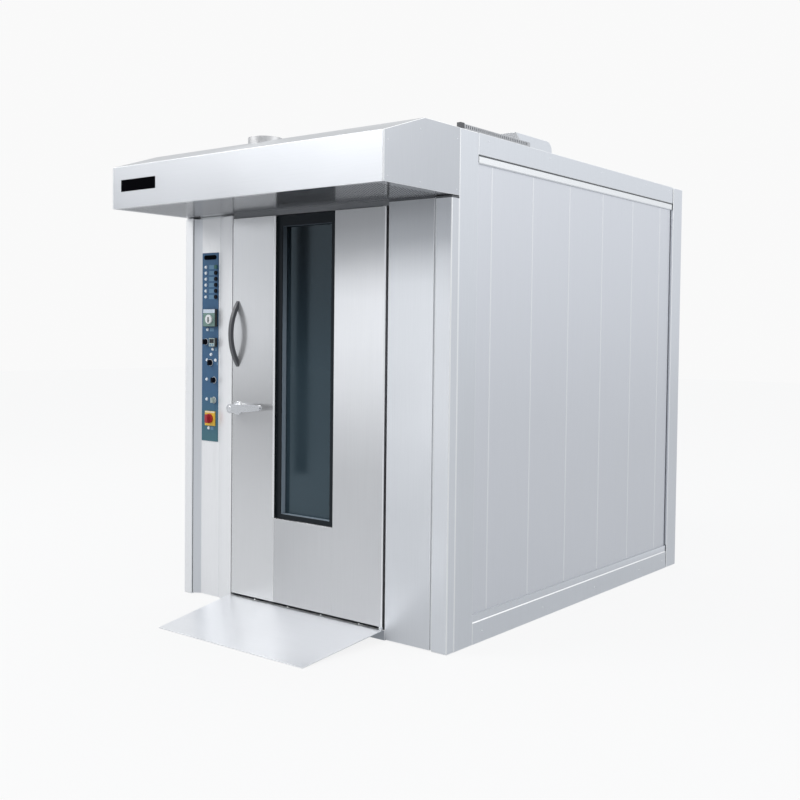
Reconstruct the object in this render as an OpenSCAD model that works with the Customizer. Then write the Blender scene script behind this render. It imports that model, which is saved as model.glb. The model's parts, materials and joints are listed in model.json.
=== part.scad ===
// Rotating rack oven, seen from above with its front towards -Y.
// The origin is the middle of the body's footprint on the floor. "Depth" is measured back
// from the front plane, so a depth of 0 is the face of the door.

/* [Body] */
// Width across the two sides
body_w = 1812; // [1700:1:2000]
// Depth from the front plane to the back
body_d = 2530; // [2500:1:2700]
// Height from the floor to the roof
body_h = 2400; // [2380:1:2500]
// Thickness of a corner post, seen from the front
post_t = 60; // [50:1:70]
// Width of a front post on the side of the body
front_post_w = 152; // [120:1:170]
// Width of a rear post on the side of the body
rear_post_w = 134; // [110:1:150]
// Width of a rear post on the back of the body
rear_post_back = 134; // [110:1:160]
// Height of the rail around the roof
top_rail_h = 100; // [80:1:120]
// Height of the trim under the top rail
top_trim_h = 40; // [30:1:50]
// Height of the rail around the base
base_rail_h = 104; // [90:1:120]
// Height of the trim on the base rail
base_trim_h = 38; // [30:1:45]
// How far a trim stands back from its rail
trim_step = 5; // [3:1:8]
// Open joint in front of a rear post
rear_joint = 12; // [8:1:16]
// Thickness of the tongue that closes that joint
tongue_t = 24; // [16:1:30]
// Thickness of the floor pan
floor_t = 45; // [40:1:55]
// Thickness of a roof deck
roof_t = 60; // [50:1:70]

/* [Wall cassettes] */
// How far the wall cassettes stand back from the rails
cassette_recess = 14; // [10:1:20]
// Distance between two seams of the side walls
cassette_pitch = 377; // [360:1:385]
// Number of whole cassettes on a side
cassette_count = 5; // [5:1:5]
// Width of the last side cassette, in front of the rear joint
last_cassette_w = 154; // [140:1:170]
// Bevel beside each seam
seam_bevel = 4; // [3:1:6]
// Number of cassettes across the back
back_cassettes = 4; // [3:1:5]
// Number of roof decks
roof_decks = 4; // [4:1:4]

/* [Front] */
// Width of the right corner column
right_column_w = 90; // [80:1:100]
// Width of the left corner column
left_column_w = 60; // [50:1:64]
// Depth of both corner columns
column_d = 58; // [50:1:70]
// Groove between the right column and the right front panel
column_groove = 8; // [6:1:12]
// Width of the right front panel
right_panel_w = 265; // [240:1:290]
// Sheet thickness of the panels and skins
sheet = 3; // [2:1:4]
// Width of the slanting wall beside the controls
slant_w = 42; // [34:1:50]
// Width of the face that carries the controls
control_w = 143; // [138:1:160]
// How far the control face stands back
control_depth = 33; // [28:1:38]
// Depth at which the slanting wall starts
slant_start = 6; // [4:1:8]
// Width of the curved jamb
jamb_w = 133; // [120:1:150]
// Rounding of the right front panel's lower left corner
panel_corner = 15; // [10:1:20]
// Gap under the front panels
toe_gap = 5; // [4:1:8]
// Gap between the front panels and the hood
brow_gap = 10; // [8:1:14]
// Thickness of the door frame
frame_t = 60; // [50:1:70]
// Overlap of the door frame on the door at the latch side
frame_lap_latch = 53; // [45:1:60]
// Overlap of the door frame on the door at the hinge side
frame_lap_hinge = 62; // [52:1:70]
// Overlap of the door frame on the top of the door
frame_lap_top = 55; // [50:1:70]
// Height of the threshold
sill_h = 50; // [47:1:56]
// Height of the lip over the door
header_lip_h = 28; // [24:1:34]
// Play between the door and that lip
header_play = 3; // [3:1:5]
// How far that lip stands back
header_recess = 10; // [6:1:14]

/* [Ramp] */
// Reach of the ramp in front of the door
ramp_reach = 555; // [450:1:650]
// Thickness of the ramp plate
ramp_t = 4; // [3:1:6]
// How much narrower the ramp is on the left at its foot
ramp_taper = 88; // [0:1:120]
// Play between the ramp and the door opening on the right
ramp_side_gap = 9; // [4:1:14]

/* [Door] */
// Gap at the latch edge
latch_gap = 7; // [6:1:9]
// Gap at the hinge edge
hinge_gap = 15; // [15:1:18]
// Height of the door's lower edge above the threshold
door_lift = 11; // [9:1:14]
// Thickness of the door
door_t = 80; // [74:1:90]
// Thickness of the door seal
seal_t = 12; // [10:1:14]
// Play between two faces that meet
face_play = 0.3; // [0.2:0.1:0.4]
// Width of the middle field of the door
centre_w = 407; // [380:1:430]
// Distance of the middle field's centre from the middle of the body
centre_x = 0.5; // [-5:0.5:5]
// Height of the lower middle panel
lower_panel_h = 438; // [400:1:500]
// Distance of the pivot axis from the door's edge
pivot_inset = 20; // [19:1:22]
// Depth of the pivot axis behind the door's face
pivot_depth = 20; // [19:1:22]
// Radius of the pivot pins
pivot_r = 9; // [8:1:10]
// Reach of a pivot pin into the door
pivot_reach = 34; // [28:1:40]
// Running clearance of pins and shafts
run_gap = 0.05; // [0.03:0.01:0.08]
// Width of the seal
seal_w = 16; // [12:1:18]

/* [Window] */
// How far the black frame stands back from the door's face
window_recess = 14; // [10:1:18]
// Width of the frame at the sides of the glass
window_side = 34; // [28:1:40]
// Width of the frame under the glass
window_bottom = 25; // [20:1:32]
// Width of the frame over the glass
window_top = 54; // [44:1:62]
// How far the glass stands back from the frame
glass_recess = 33; // [28:1:36]
// Thickness of a pane
glass_t = 6; // [5:1:8]

/* [Handle and latch] */
// Distance of the handle from the door's latch edge
handle_inset = 38; // [34:1:44]
// Height of the handle's lower end
handle_z = 1278; // [1240:1:1320]
// Length of the handle
handle_l = 352; // [320:1:380]
// How far the handle stands off the door
handle_off = 59; // [54:1:66]
// Thickness of the handle in the middle
handle_t = 20; // [16:1:22]
// Length of one foot of the handle
handle_foot = 38; // [34:1:42]
// Width of the handle
handle_w = 23; // [20:1:26]
// Distance of the lever's axis from the door's latch edge
lever_inset = 41; // [38:1:46]
// Height of the lever's axis
lever_z = 1058; // [1030:1:1090]
// Length of the lever from its axis
lever_l = 212; // [190:1:235]
// Height of the lever at its hub
lever_hub_h = 48; // [42:1:54]
// Height of the lever at its tip
lever_tip_h = 30; // [26:1:34]
// How far the lever stands off the door
lever_off = 60; // [54:1:66]
// Thickness of the lever
lever_t = 16; // [13:1:18]
// Rise of the lever's tip
lever_rise = 13; // [8:1:16]
// Room around the latch's axis inside the door
latch_room = 34; // [32:1:38]
// Thickness of the latch keeper
keeper_t = 18; // [16:1:20]
// Half of the keeper's depth
keeper_half_d = 22; // [18:1:26]
// Half of the keeper's height
keeper_half_h = 40; // [34:1:46]
// Radius of the lever's spindle
spindle_r = 8; // [7:1:9]
// Radius of the rose behind the lever
rose_r = 36; // [32:1:38]
// Thickness of the rose
rose_t = 6; // [5:1:8]
// Height and depth of the latch bolt
bolt_size = 20; // [18:1:22]
// Length of the latch bolt
bolt_l = 56; // [50:1:60]
// How far the thrown bolt reaches into the jamb
bolt_throw = 9; // [8:1:10]
// How far the bolt is drawn back into the door's edge at rest
bolt_back = 2; // [1:0.5:2.5]
// Play of the bolt in its openings
bolt_play = 0.6; // [0.5:0.1:0.8]

/* [Hood] */
// Height of the hood
hood_h = 307; // [290:1:320]
// Reach of the hood in front of the door
hood_reach = 488; // [420:1:540]
// Height of the hood's front face
fascia_h = 214; // [190:1:230]
// Distance of the roof edge of the hood from the front plane
ridge_reach = 209; // [205:1:230]
// Thickness of the hood's sheet
hood_sheet = 6; // [4:1:8]
// Radius of the exhaust collar
exhaust_r = 88; // [75:1:95]
// Height of the exhaust collar
exhaust_h = 42; // [36:1:60]
// Wall of both duct collars
collar_wall = 3; // [2:1:4]
// Place of the exhaust collar across the hood
exhaust_x = -191; // [-260:1:-120]
// Distance of the exhaust collar from the front plane
exhaust_reach = 90; // [85:1:94]
// Radius of the flue collar
flue_r = 90; // [75:1:100]
// Height of the flue collar
flue_h = 110; // [80:1:140]
// Place of the flue collar across the roof
flue_x = -394; // [-430:1:-360]
// Depth of the flue collar
flue_depth = 2200; // [2160:1:2240]

/* [Controls] */
// Width of the control strip
strip_w = 130; // [126:1:136]
// Height of the control strip's lower end
strip_z = 861; // [840:1:880]
// Length of the control strip
strip_l = 1035; // [1020:1:1060]
// Thickness of the control strip
strip_t = 3; // [2:1:4]
// Distance between two rows of buttons
row_pitch = 32.7; // [31:0.1:34]
// Height of the topmost row of buttons
row_z = 1818; // [1812:1:1824]
// Place of the buttons across the strip
button_x = 49; // [46:1:50]
// Radius of a button
button_r = 11; // [9:0.5:12]
// How far a button stands out of the strip
button_out = 9; // [7:1:11]
// Travel of a button
button_travel = 3; // [2:0.5:4]
// Play around a button
button_play = 0.4; // [0.3:0.1:0.6]
// Place of the lamps across the strip
lamp_x = -35; // [-39:0.5:-32]
// Radius of a lamp
lamp_r = 9; // [7:0.5:10]
// How far a lamp stands out of the strip
lamp_out = 6; // [4:1:8]
// Width of the display
display_w = 98; // [90:1:104]
// Height of the display's window
display_h = 24; // [20:1:28]
// Height of the display's centre
display_z = 1871; // [1866:1:1875]
// Size of the temperature controller
controller_size = 96; // [90:1:100]
// Height of the controller's centre
controller_z = 1540; // [1530:1:1550]
// How far the controller and the timer stand out
instrument_out = 20; // [16:1:23]
// Radius of the temperature dial
dial_r = 25; // [22:1:28]
// How far the dial stands out of the controller
dial_out = 12; // [10:1:14]
// Size of the cycle timer
timer_size = 48; // [44:1:52]
// Height of the timer's centre
timer_z = 1406; // [1400:1:1412]
// Place of the timer across the strip
timer_x = 35; // [33:1:38]
// Radius of a selector's ring
selector_r = 15; // [13:0.5:16]
// How far a selector's lever stands out
selector_out = 24; // [20:1:28]
// Radius of the spindles behind the knobs
stem_r = 4; // [3:0.5:5]
// Depth of the pockets behind the control strip
pocket = 24; // [20:1:26]
// Side of the main switch's plate
main_plate = 80; // [74:1:88]
// Height of the main switch
main_z = 987; // [980:1:994]
// Radius of the main switch's knob
main_r = 26; // [22:1:30]
// How far that knob stands out
main_out = 35; // [28:1:40]

/* [Inside] */
// Clear width of the baking chamber
chamber_w = 1300; // [1250:1:1360]
// Clear depth of the baking chamber
chamber_d = 1340; // [1300:1:1345]
// Clear height of the baking chamber
chamber_h = 2000; // [1980:1:2050]
// Thickness of the chamber's sheets
liner_t = 6; // [4:1:8]
// Columns of air slots on one side
slot_columns = 3; // [2:1:4]
// Rows of air slots
slot_rows = 11; // [8:1:12]
// Height of an air slot
slot_h = 110; // [80:1:130]
// Width of an air slot
slot_w = 24; // [16:1:34]
// Radius of the rack shaft
shaft_r = 25; // [20:1:28]
// Length of the rack hook's crossbar
hook_w = 420; // [360:1:480]
// Height of the crossbar under the chamber's ceiling
hook_drop = 120; // [100:1:150]
// Length of the gear unit
gear_l = 240; // [200:1:280]
// Width of the gear unit
gear_w = 180; // [150:1:210]
// Height of the gear unit
gear_h = 150; // [130:1:170]
// Radius of the gear unit's motor
gear_motor_r = 62; // [50:1:64]
// Length of that motor
gear_motor_l = 200; // [160:1:240]
// Rim of the gear unit's foot
foot_rim = 20; // [14:1:26]
// Thickness of the feet under the motors
foot_t = 12; // [8:1:16]
// Depth to which the rack shaft sits in the gear unit
shaft_seat = 90; // [70:1:110]
// Radius of the fan wheel
wheel_r = 290; // [260:1:300]
// Height of the fan wheel
wheel_h = 160; // [140:1:180]
// Number of fan blades
blades = 10; // [8:1:12]
// Radius of the fan shaft
fan_shaft_r = 20; // [16:1:24]
// Radius of the fan motor
motor_r = 105; // [95:1:120]
// Height of the fan motor
motor_h = 200; // [180:1:215]
// Width of the cover over the fan motor
cover_w = 612; // [580:1:640]
// Depth of the front of that cover
cover_depth = 1488; // [1476:1:1500]
// Length of that cover from front to back
cover_l = 424; // [420:1:450]
// Height of that cover
cover_h = 270; // [262:1:290]
// Rounding of the cover's rear edge
cover_corner = 60; // [40:1:70]
// How far the foot of the cover's front stands back under its top edge
cover_lean = 50; // [30:1:60]
// Height of the leaning part below that top edge
cover_lean_h = 45; // [35:1:60]
// Width of the heat exchanger
exchanger_w = 1000; // [900:1:1100]
// Height of the heat exchanger
exchanger_h = 1560; // [1450:1:1600]
// Radius of an exchanger tube
tube_r = 32; // [26:1:36]
// Exchanger tubes across
tubes = 7; // [5:1:8]
// Rows of exchanger tubes
tube_rows = 3; // [2:1:3]
// Clearance in front of the heat exchanger
exchanger_gap = 130; // [110:1:150]
// Height of the exchanger's end boxes
box_h = 160; // [140:1:180]
// Radius of the burner's blast tube
blast_r = 60; // [50:1:66]
// Distance of the burner from the heat exchanger
burner_gap = 40; // [30:1:50]
// Width of the burner's housing
burner_w = 260; // [220:1:300]
// Length of the burner's housing
burner_l = 220; // [180:1:260]
// Height of the burner's housing
burner_h = 280; // [250:1:310]
// Radius of the burner's air scroll
scroll_r = 80; // [70:1:90]
// Width of the burner's air scroll
scroll_w = 110; // [90:1:130]
// Clearance of shafts and ducts in the sheets that they pass
pass_gap = 5; // [3:1:8]

/* [Cable duct] */
// Width of the duct
duct_w = 18; // [14:1:20]
// Height of the duct
duct_h = 22; // [18:1:25]
// Depth at which the duct ends
duct_end = 665; // [640:1:690]
// Distance between two slots of the duct
duct_pitch = 17; // [15:1:20]
// Wall of the duct
duct_wall = 2; // [1.5:0.5:3]
// Width of a slot of the duct
duct_slot = 7; // [5:1:8]
// Width of the cable gland block
gland_w = 22; // [20:1:28]
// Length of the cable gland block
gland_l = 30; // [24:1:40]
// Height of the cable gland block
gland_h = 25; // [22:1:30]

/* [Hidden] */
$fn = 48;
cut = 1;
arc_steps = 16;

// Sides and heights of the body
side = body_w / 2;
inner = side - post_t;
front_post_end = column_d + front_post_w;
rear_post_start = body_d - rear_post_w;
rail_end = rear_post_start - rear_joint;
top_rail_z = body_h - top_rail_h;
top_trim_z = top_rail_z - top_trim_h;
base_trim_z = base_rail_h + base_trim_h;
hood_z = body_h - hood_h;

// Front, from left to right
slant_x = -side + left_column_w;
control_x = slant_x + slant_w;
jamb_x = control_x + control_w;
doorway_left = jamb_x + jamb_w;
column_x = side - right_column_w;
doorway_right = column_x - column_groove - right_panel_w;
frame_face = door_t + seal_t + face_play;
frame_back = frame_face + frame_t;

// Door
door_left = doorway_left + latch_gap;
door_right = doorway_right - hinge_gap;
door_z = sill_h + door_lift;
door_top = hood_z - header_lip_h;
centre_left = centre_x - centre_w / 2;
centre_right = centre_x + centre_w / 2;
window_z = door_z + lower_panel_h;
pivot_x = door_right - pivot_inset;
opening_left = door_left + frame_lap_latch - latch_gap;
opening_right = door_right - frame_lap_hinge + hinge_gap;
opening_top = door_top - frame_lap_top;
seal_outset = 12;
seal_left = opening_left - seal_w - seal_outset;
seal_pivot_gap = 4;
seal_right = pivot_x - seal_pivot_gap;
seal_top = opening_top + seal_w + seal_outset;
handle_x = door_left + handle_inset;
lever_x = door_left + lever_inset;
bolt_depth = door_t / 2;

// Controls
strip_inset = 3.5;
strip_x = control_x + strip_inset + strip_w / 2;
strip_face = control_depth - strip_t;
selector_places = [[-32, 1408], [8, 1294], [36, 1199], [36, 1089]];
lone_lamps = [
    [-19, 1475], [24, 1368], [10, 1339], [-22, 1308], [46, 1308], [-24, 1202], [-23, 1092],
    [-6, 933]
];
controller_shift = 12;
controller_x = strip_x + controller_shift;
main_shift = 7;
main_x = strip_x + main_shift;

// Inside
chamber_back = frame_back + chamber_d;
chamber_top = sill_h + chamber_h;
hook_depth = frame_back + chamber_d / 2;
hook_z = chamber_top - hook_drop;
fan_depth = cover_depth + cover_l / 2;
exchanger_depth = chamber_back + exchanger_gap;
exchanger_l = tube_rows * 3 * tube_r;
burner_depth = exchanger_depth + exchanger_l + burner_gap;

// A block between two corners given as [x, depth, height]
module block(a, b)
    translate([a[0], a[1] - body_d / 2, a[2]]) cube([b[0] - a[0], b[1] - a[1], b[2] - a[2]]);

// Children moved to a place given as x, depth and height
module at(x, depth, z) translate([x, depth - body_d / 2, z]) children();

// A cylinder that runs from the front towards the back
module rod(x, depth, z, r, l) at(x, depth, z) rotate([-90, 0, 0]) cylinder(r = r, h = l);

// An outline drawn in x and depth, raised from one height to another
module raised(z0, z1) at(0, 0, z0) linear_extrude(z1 - z0) children();

// An outline drawn in depth and height, swept across from one x to another
module swept(x0, x1)
    at(x0, 0, 0) rotate([90, 0, 90]) linear_extrude(x1 - x0) children();

// The same solid on the left and on the right
module both_sides() {
    children();
    mirror([1, 0, 0]) children();
}

// ---- Frame and casing ----

module base_frame() color("#b9bdc2") {
    block([-inner, frame_back, 0], [inner, body_d - post_t, floor_t]);
    both_sides() {
        block([inner, front_post_end, 0], [side, rail_end, base_rail_h]);
        block([inner, front_post_end, base_rail_h], [side - trim_step, rail_end, base_trim_z]);
        block([inner, rail_end, 0], [inner + tongue_t, rear_post_start, base_trim_z]);
    }
    block([-side + rear_post_back, body_d - post_t, 0],
          [side - rear_post_back, body_d, base_rail_h]);
}

module corner_posts() color("#c3c6ca") both_sides() {
    block([inner, column_d, 0], [side, front_post_end, body_h]);
    block([inner, rear_post_start, 0], [side, body_d, body_h]);
    block([side - rear_post_back, body_d - post_t, 0], [inner, body_d, body_h]);
}

module top_rails() color("#c3c6ca") {
    both_sides() {
        block([inner, front_post_end, top_rail_z], [side, rail_end, body_h]);
        block([inner, front_post_end, top_trim_z], [side - trim_step, rail_end, top_rail_z]);
        block([inner, rail_end, top_trim_z], [inner + tongue_t, rear_post_start, body_h]);
    }
    block([-inner, column_d, top_rail_z], [inner, frame_back, body_h]);
    block([-side + rear_post_back, body_d - post_t, top_rail_z],
          [side - rear_post_back, body_d, body_h]);
}

// One cassette with bevelled seams, from one place to another along a wall
module cassette(from, to, z0, z1, thick) translate([0, 0, z0]) linear_extrude(z1 - z0)
    polygon([
        [from, 0], [from, thick - seam_bevel], [from + seam_bevel, thick],
        [to - seam_bevel, thick], [to, thick - seam_bevel], [to, 0]
    ]);

side_wall_t = post_t - cassette_recess;
last_seam = rail_end - last_cassette_w;
first_seam = last_seam - cassette_count * cassette_pitch;

module side_wall() multmatrix([[0, 1, 0, inner], [1, 0, 0, -body_d / 2], [0, 0, 1, 0]]) {
    cassette(front_post_end, first_seam, base_trim_z, top_trim_z, side_wall_t);
    for (i = [0 : cassette_count - 1])
        cassette(first_seam + i * cassette_pitch, first_seam + (i + 1) * cassette_pitch,
                 base_trim_z, top_trim_z, side_wall_t);
    cassette(last_seam, rail_end, base_trim_z, top_trim_z, side_wall_t);
}

module side_wall_panels() color("#d9dbde") both_sides() {
    side_wall();
    block([inner, rail_end, base_trim_z], [inner + tongue_t, rear_post_start, top_trim_z]);
}

back_panel_w = (body_w - 2 * rear_post_back) / back_cassettes;

module rear_wall_panels() color("#d9dbde") at(-side + rear_post_back, body_d - post_t, 0)
    for (i = [0 : back_cassettes - 1])
        cassette(i * back_panel_w, (i + 1) * back_panel_w, base_rail_h, top_rail_z, side_wall_t);

deck_l = (body_d - post_t - frame_back) / roof_decks;

module roof_panels() color("#c9ccd0") for (i = [0 : roof_decks - 1]) difference() {
    block([-inner, frame_back + i * deck_l, body_h - roof_t],
          [inner, frame_back + (i + 1) * deck_l, body_h]);
    at(0, hook_depth, body_h - roof_t - cut) cylinder(r = shaft_r + pass_gap, h = roof_t + 2 * cut);
    at(0, fan_depth, body_h - roof_t - cut) cylinder(r = fan_shaft_r + pass_gap, h = roof_t + 2 * cut);
    at(flue_x, flue_depth, body_h - roof_t - cut)
        cylinder(r = flue_r - collar_wall, h = roof_t + 2 * cut);
}

module corner_columns() color("#d3d6d9") {
    block([-side, 0, 0], [slant_x, column_d, hood_z - header_play]);
    block([column_x, 0, 0], [side, column_d, hood_z - header_play]);
}

// The right front panel seen from the front, drawn in x and height, with its wall left out
module panel_outline(wall) {
    left = doorway_right + wall;
    right = column_x - column_groove - wall;
    low = toe_gap + wall;
    polygon(concat(
        [for (i = [0 : arc_steps])
            [left + panel_corner * (1 - sin(90 * i / arc_steps)),
             low + panel_corner * (1 - cos(90 * i / arc_steps))]],
        [[left, hood_z - brow_gap - wall], [right, hood_z - brow_gap - wall], [right, low]]
    ));
}

// An outline drawn in x and height, reaching from one depth back to another
module pushed(depth0, depth1)
    at(0, depth1, 0) rotate([90, 0, 0]) linear_extrude(depth1 - depth0) children();

module right_front_panel() color("#e3e5e8") difference() {
    pushed(0, frame_face) panel_outline(0);
    pushed(sheet, frame_face + cut) panel_outline(sheet);
}

bay_x = max(slant_x, -inner);

module control_column() color("#c8cbcf") difference() {
    raised(toe_gap, hood_z - brow_gap) polygon([
        [slant_x, slant_start], [control_x, control_depth], [jamb_x, control_depth],
        [jamb_x, frame_face], [bay_x, frame_face], [bay_x, column_d], [slant_x, column_d]
    ]);
    for (i = [0 : 5])
        rod(strip_x + button_x, control_depth - cut, row_z - i * row_pitch,
            button_r + button_play, pocket + cut);
    for (p = selector_places)
        rod(strip_x + p[0], control_depth - cut, p[1], stem_r + button_play, pocket + cut);
    rod(main_x, control_depth - cut, main_z, stem_r + button_play, pocket + cut);
}

// A point on the curved face of the jamb, from its slanting side (0) to the doorway (1)
function jamb_point(t) = [
    (1 - t) * (1 - t) * jamb_x + 2 * t * (1 - t) * (jamb_x + jamb_w / 2) + t * t * doorway_left,
    (1 - t) * (1 - t) * control_depth + 2 * t * (1 - t) * slant_start
];

module keeper_space() block(
    [doorway_left - keeper_t, bolt_depth - keeper_half_d, lever_z - keeper_half_h],
    [doorway_left + cut, bolt_depth + keeper_half_d, lever_z + keeper_half_h]);

module latch_jamb() color("#dcdfe2") difference() {
    raised(toe_gap, hood_z - brow_gap) polygon(concat(
        [for (i = [0 : 12]) jamb_point(i / 12)],
        [[doorway_left, frame_face], [jamb_x, frame_face]]
    ));
    keeper_space();
}

module latch_keeper() color("#a9adb2") difference() {
    intersection() {
        keeper_space();
        block([doorway_left - keeper_t, 0, 0], [doorway_left, door_t, hood_z]);
    }
    block([doorway_left - bolt_throw - 3, bolt_depth - bolt_size / 2 - bolt_play,
           lever_z - bolt_size / 2 - bolt_play],
          [doorway_left + cut, bolt_depth + bolt_size / 2 + bolt_play,
           lever_z + bolt_size / 2 + bolt_play]);
}

module door_frame() color("#aeb2b7") difference() {
    block([-inner, frame_face, 0], [inner, frame_back, top_rail_z]);
    block([opening_left, frame_face - cut, -cut], [opening_right, frame_back + cut, opening_top]);
}

module header_beam() color("#5a5e64") {
    block([-inner, slant_start, hood_z], [inner, frame_face, top_rail_z]);
    block([doorway_left, header_recess, door_top + header_play], [doorway_right, frame_face, hood_z]);
}

module threshold() color("#9a9ea3") {
    block([doorway_left, 0, 0], [doorway_right, frame_face, sill_h]);
    block([opening_left, frame_face, 0], [opening_right, frame_back, sill_h]);
}

module ramp() color("#dde0e3") intersection() {
    swept(doorway_left, doorway_right - ramp_side_gap) polygon([
        [-ramp_reach, 0], [-ramp_reach, ramp_t], [0, sill_h], [0, sill_h - ramp_t]
    ]);
    raised(0, sill_h) polygon([
        [doorway_left, 0], [doorway_right - ramp_side_gap, 0],
        [doorway_right - ramp_side_gap, -ramp_reach], [doorway_left + ramp_taper, -ramp_reach]
    ]);
}

// ---- Door ----

module pivot_bores() {
    at(pivot_x, pivot_depth, door_z - cut)
        cylinder(r = pivot_r + run_gap, h = pivot_reach + 2 * cut);
    at(pivot_x, pivot_depth, door_top - pivot_reach - cut)
        cylinder(r = pivot_r + run_gap, h = pivot_reach + 2 * cut);
}

pivot_wall = 12;
pivot_cap = 8;
pivot_block_h = pivot_reach + pivot_cap;

module pivot_blocks() {
    for (z = [door_z, door_top - pivot_block_h])
        block([pivot_x - pivot_r - pivot_wall, 0, z],
              [door_right, pivot_depth + pivot_r + pivot_wall, z + pivot_block_h]);
}

// The hollow of the latch in the left stile
module latch_case() block([door_left + sheet, sheet, lever_z - latch_room],
                          [lever_x + latch_room, door_t - sheet, lever_z + latch_room]);

// Each stile is open towards the lower middle panel and closed beside the window
module door_stiles() color("#dfe2e5") {
    difference() {
        block([door_left, 0, door_z], [centre_left, door_t, door_top]);
        block([door_left + sheet, sheet, door_z + sheet],
              [centre_left + cut, door_t + cut, window_z - sheet]);
        block([door_left + sheet, sheet, window_z - sheet - cut],
              [centre_left - sheet, door_t + cut, door_top - sheet]);
        block([door_left - cut, bolt_depth - bolt_size / 2 - bolt_play,
               lever_z - bolt_size / 2 - bolt_play],
              [door_left + sheet + cut, bolt_depth + bolt_size / 2 + bolt_play,
               lever_z + bolt_size / 2 + bolt_play]);
        rod(lever_x, -cut, lever_z, spindle_r + bolt_play, sheet + 2 * cut);
    }
    difference() {
        union() {
            difference() {
                block([centre_right, 0, door_z], [door_right, door_t, door_top]);
                block([centre_right - cut, sheet, door_z + sheet],
                      [door_right - sheet, door_t + cut, window_z - sheet]);
                block([centre_right + sheet, sheet, window_z - sheet - cut],
                      [door_right - sheet, door_t + cut, door_top - sheet]);
            }
            pivot_blocks();
        }
        pivot_bores();
    }
}

module door_lower_panel() color("#dfe2e5") difference() {
    block([centre_left, 0, door_z], [centre_right, door_t, window_z]);
    block([centre_left - cut, sheet, door_z + sheet],
          [centre_right + cut, door_t + cut, window_z - sheet]);
}

// The window with the two walls of the stiles beside it
module window_space(depth0, depth1)
    block([centre_left - sheet, depth0, window_z - sheet],
          [centre_right + sheet, depth1, door_top + cut]);

module door_liner() color("#c6c9cd") difference() {
    block([door_left + sheet, door_t - sheet, door_z + sheet],
          [door_right - sheet, door_t, door_top - sheet]);
    window_space(0, door_t + cut);
}

module door_insulation() color("#cdbb7a") difference() {
    block([door_left + sheet, sheet, door_z + sheet],
          [door_right - sheet, door_t - sheet, door_top - sheet]);
    window_space(0, door_t);
    pivot_blocks();
    latch_case();
}

glass_left = centre_left + window_side;
glass_right = centre_right - window_side;
glass_z = window_z + window_bottom;
glass_top_z = door_top - window_top;
pane_edge = 8;
front_pane = window_recess + glass_recess;
back_pane = door_t - pane_edge - glass_t;

module pane(depth) block([glass_left - pane_edge, depth, glass_z - pane_edge],
                         [glass_right + pane_edge, depth + glass_t, glass_top_z + pane_edge]);

module window_frame() color("#1d1f22") difference() {
    block([centre_left, window_recess, window_z], [centre_right, door_t, door_top]);
    block([glass_left, 0, glass_z], [glass_right, door_t + cut, glass_top_z]);
    pane(front_pane);
    pane(back_pane);
}

module window_panes() color("#3f7f86", 0.5) {
    pane(front_pane);
    pane(back_pane);
}

module door_gasket() color("#2a2b2d") difference() {
    block([seal_left, door_t, sill_h + 2 * face_play], [seal_right, door_t + seal_t, seal_top]);
    block([seal_left + seal_w, 0, door_z + seal_w],
          [seal_right - seal_w, frame_back, seal_top - seal_w]);
}

handle_mid = handle_z + handle_l / 2;

// Radius of an arc of that half length and height
function arc_radius(half, rise) = (half * half + rise * rise) / (2 * rise);

module bow_handle() color("#54585e") {
    outer = arc_radius(handle_l / 2, handle_off);
    inner_off = handle_off - handle_t;
    hollow = arc_radius(handle_l / 2 - handle_foot, inner_off);
    swept(handle_x - handle_w / 2, handle_x + handle_w / 2) intersection() {
        difference() {
            translate([outer - handle_off, handle_mid]) circle(r = outer, $fn = 96);
            translate([hollow - inner_off, handle_mid]) circle(r = hollow, $fn = 96);
        }
        translate([-handle_off - cut, handle_z - cut]) square([handle_off + cut, handle_l + 2 * cut]);
    }
}

module latch_rose() color("#8f9398") difference() {
    rod(lever_x, -rose_t, lever_z, rose_r, rose_t);
    rod(lever_x, -rose_t - cut, lever_z, spindle_r + run_gap, rose_t + 2 * cut);
}

module latch_lever() color("#b9bec3") {
    rod(lever_x, -lever_off, lever_z, lever_hub_h / 2, lever_off - rose_t - face_play);
    rod(lever_x, -lever_off, lever_z, spindle_r, lever_off + sheet + 10);
    at(lever_x, lever_t - lever_off, lever_z) rotate([90, 0, 0]) linear_extrude(lever_t) {
        polygon([
            [0, lever_hub_h / 2], [lever_l, lever_rise + lever_tip_h / 2],
            [lever_l, lever_rise - lever_tip_h / 2], [0, -lever_hub_h / 2]
        ]);
        translate([lever_l, lever_rise]) circle(d = lever_tip_h);
    }
}

bolt_x = door_left + bolt_back;

module latch_bolt() color("#c2c5c9")
    block([bolt_x, bolt_depth - bolt_size / 2, lever_z - bolt_size / 2],
          [bolt_x + bolt_l, bolt_depth + bolt_size / 2, lever_z + bolt_size / 2]);

module hinge_pivots() color("#8a8e93") {
    washer_r = pivot_r + 6;
    at(pivot_x, pivot_depth, sill_h) {
        cylinder(r = washer_r, h = door_lift - face_play);
        cylinder(r = pivot_r, h = door_lift + pivot_reach);
    }
    at(pivot_x, pivot_depth, door_top + face_play) cylinder(r = washer_r, h = header_play - face_play);
    at(pivot_x, pivot_depth, door_top - pivot_reach)
        cylinder(r = pivot_r, h = pivot_reach + header_play);
}

// ---- Hood ----

ridge_z = body_h - hood_sheet;
fascia_z = hood_z + fascia_h;

module hood_outline() polygon([
    [-hood_reach, hood_z], [-hood_reach, fascia_z], [-ridge_reach, body_h],
    [column_d, body_h], [column_d, hood_z]
]);

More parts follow.
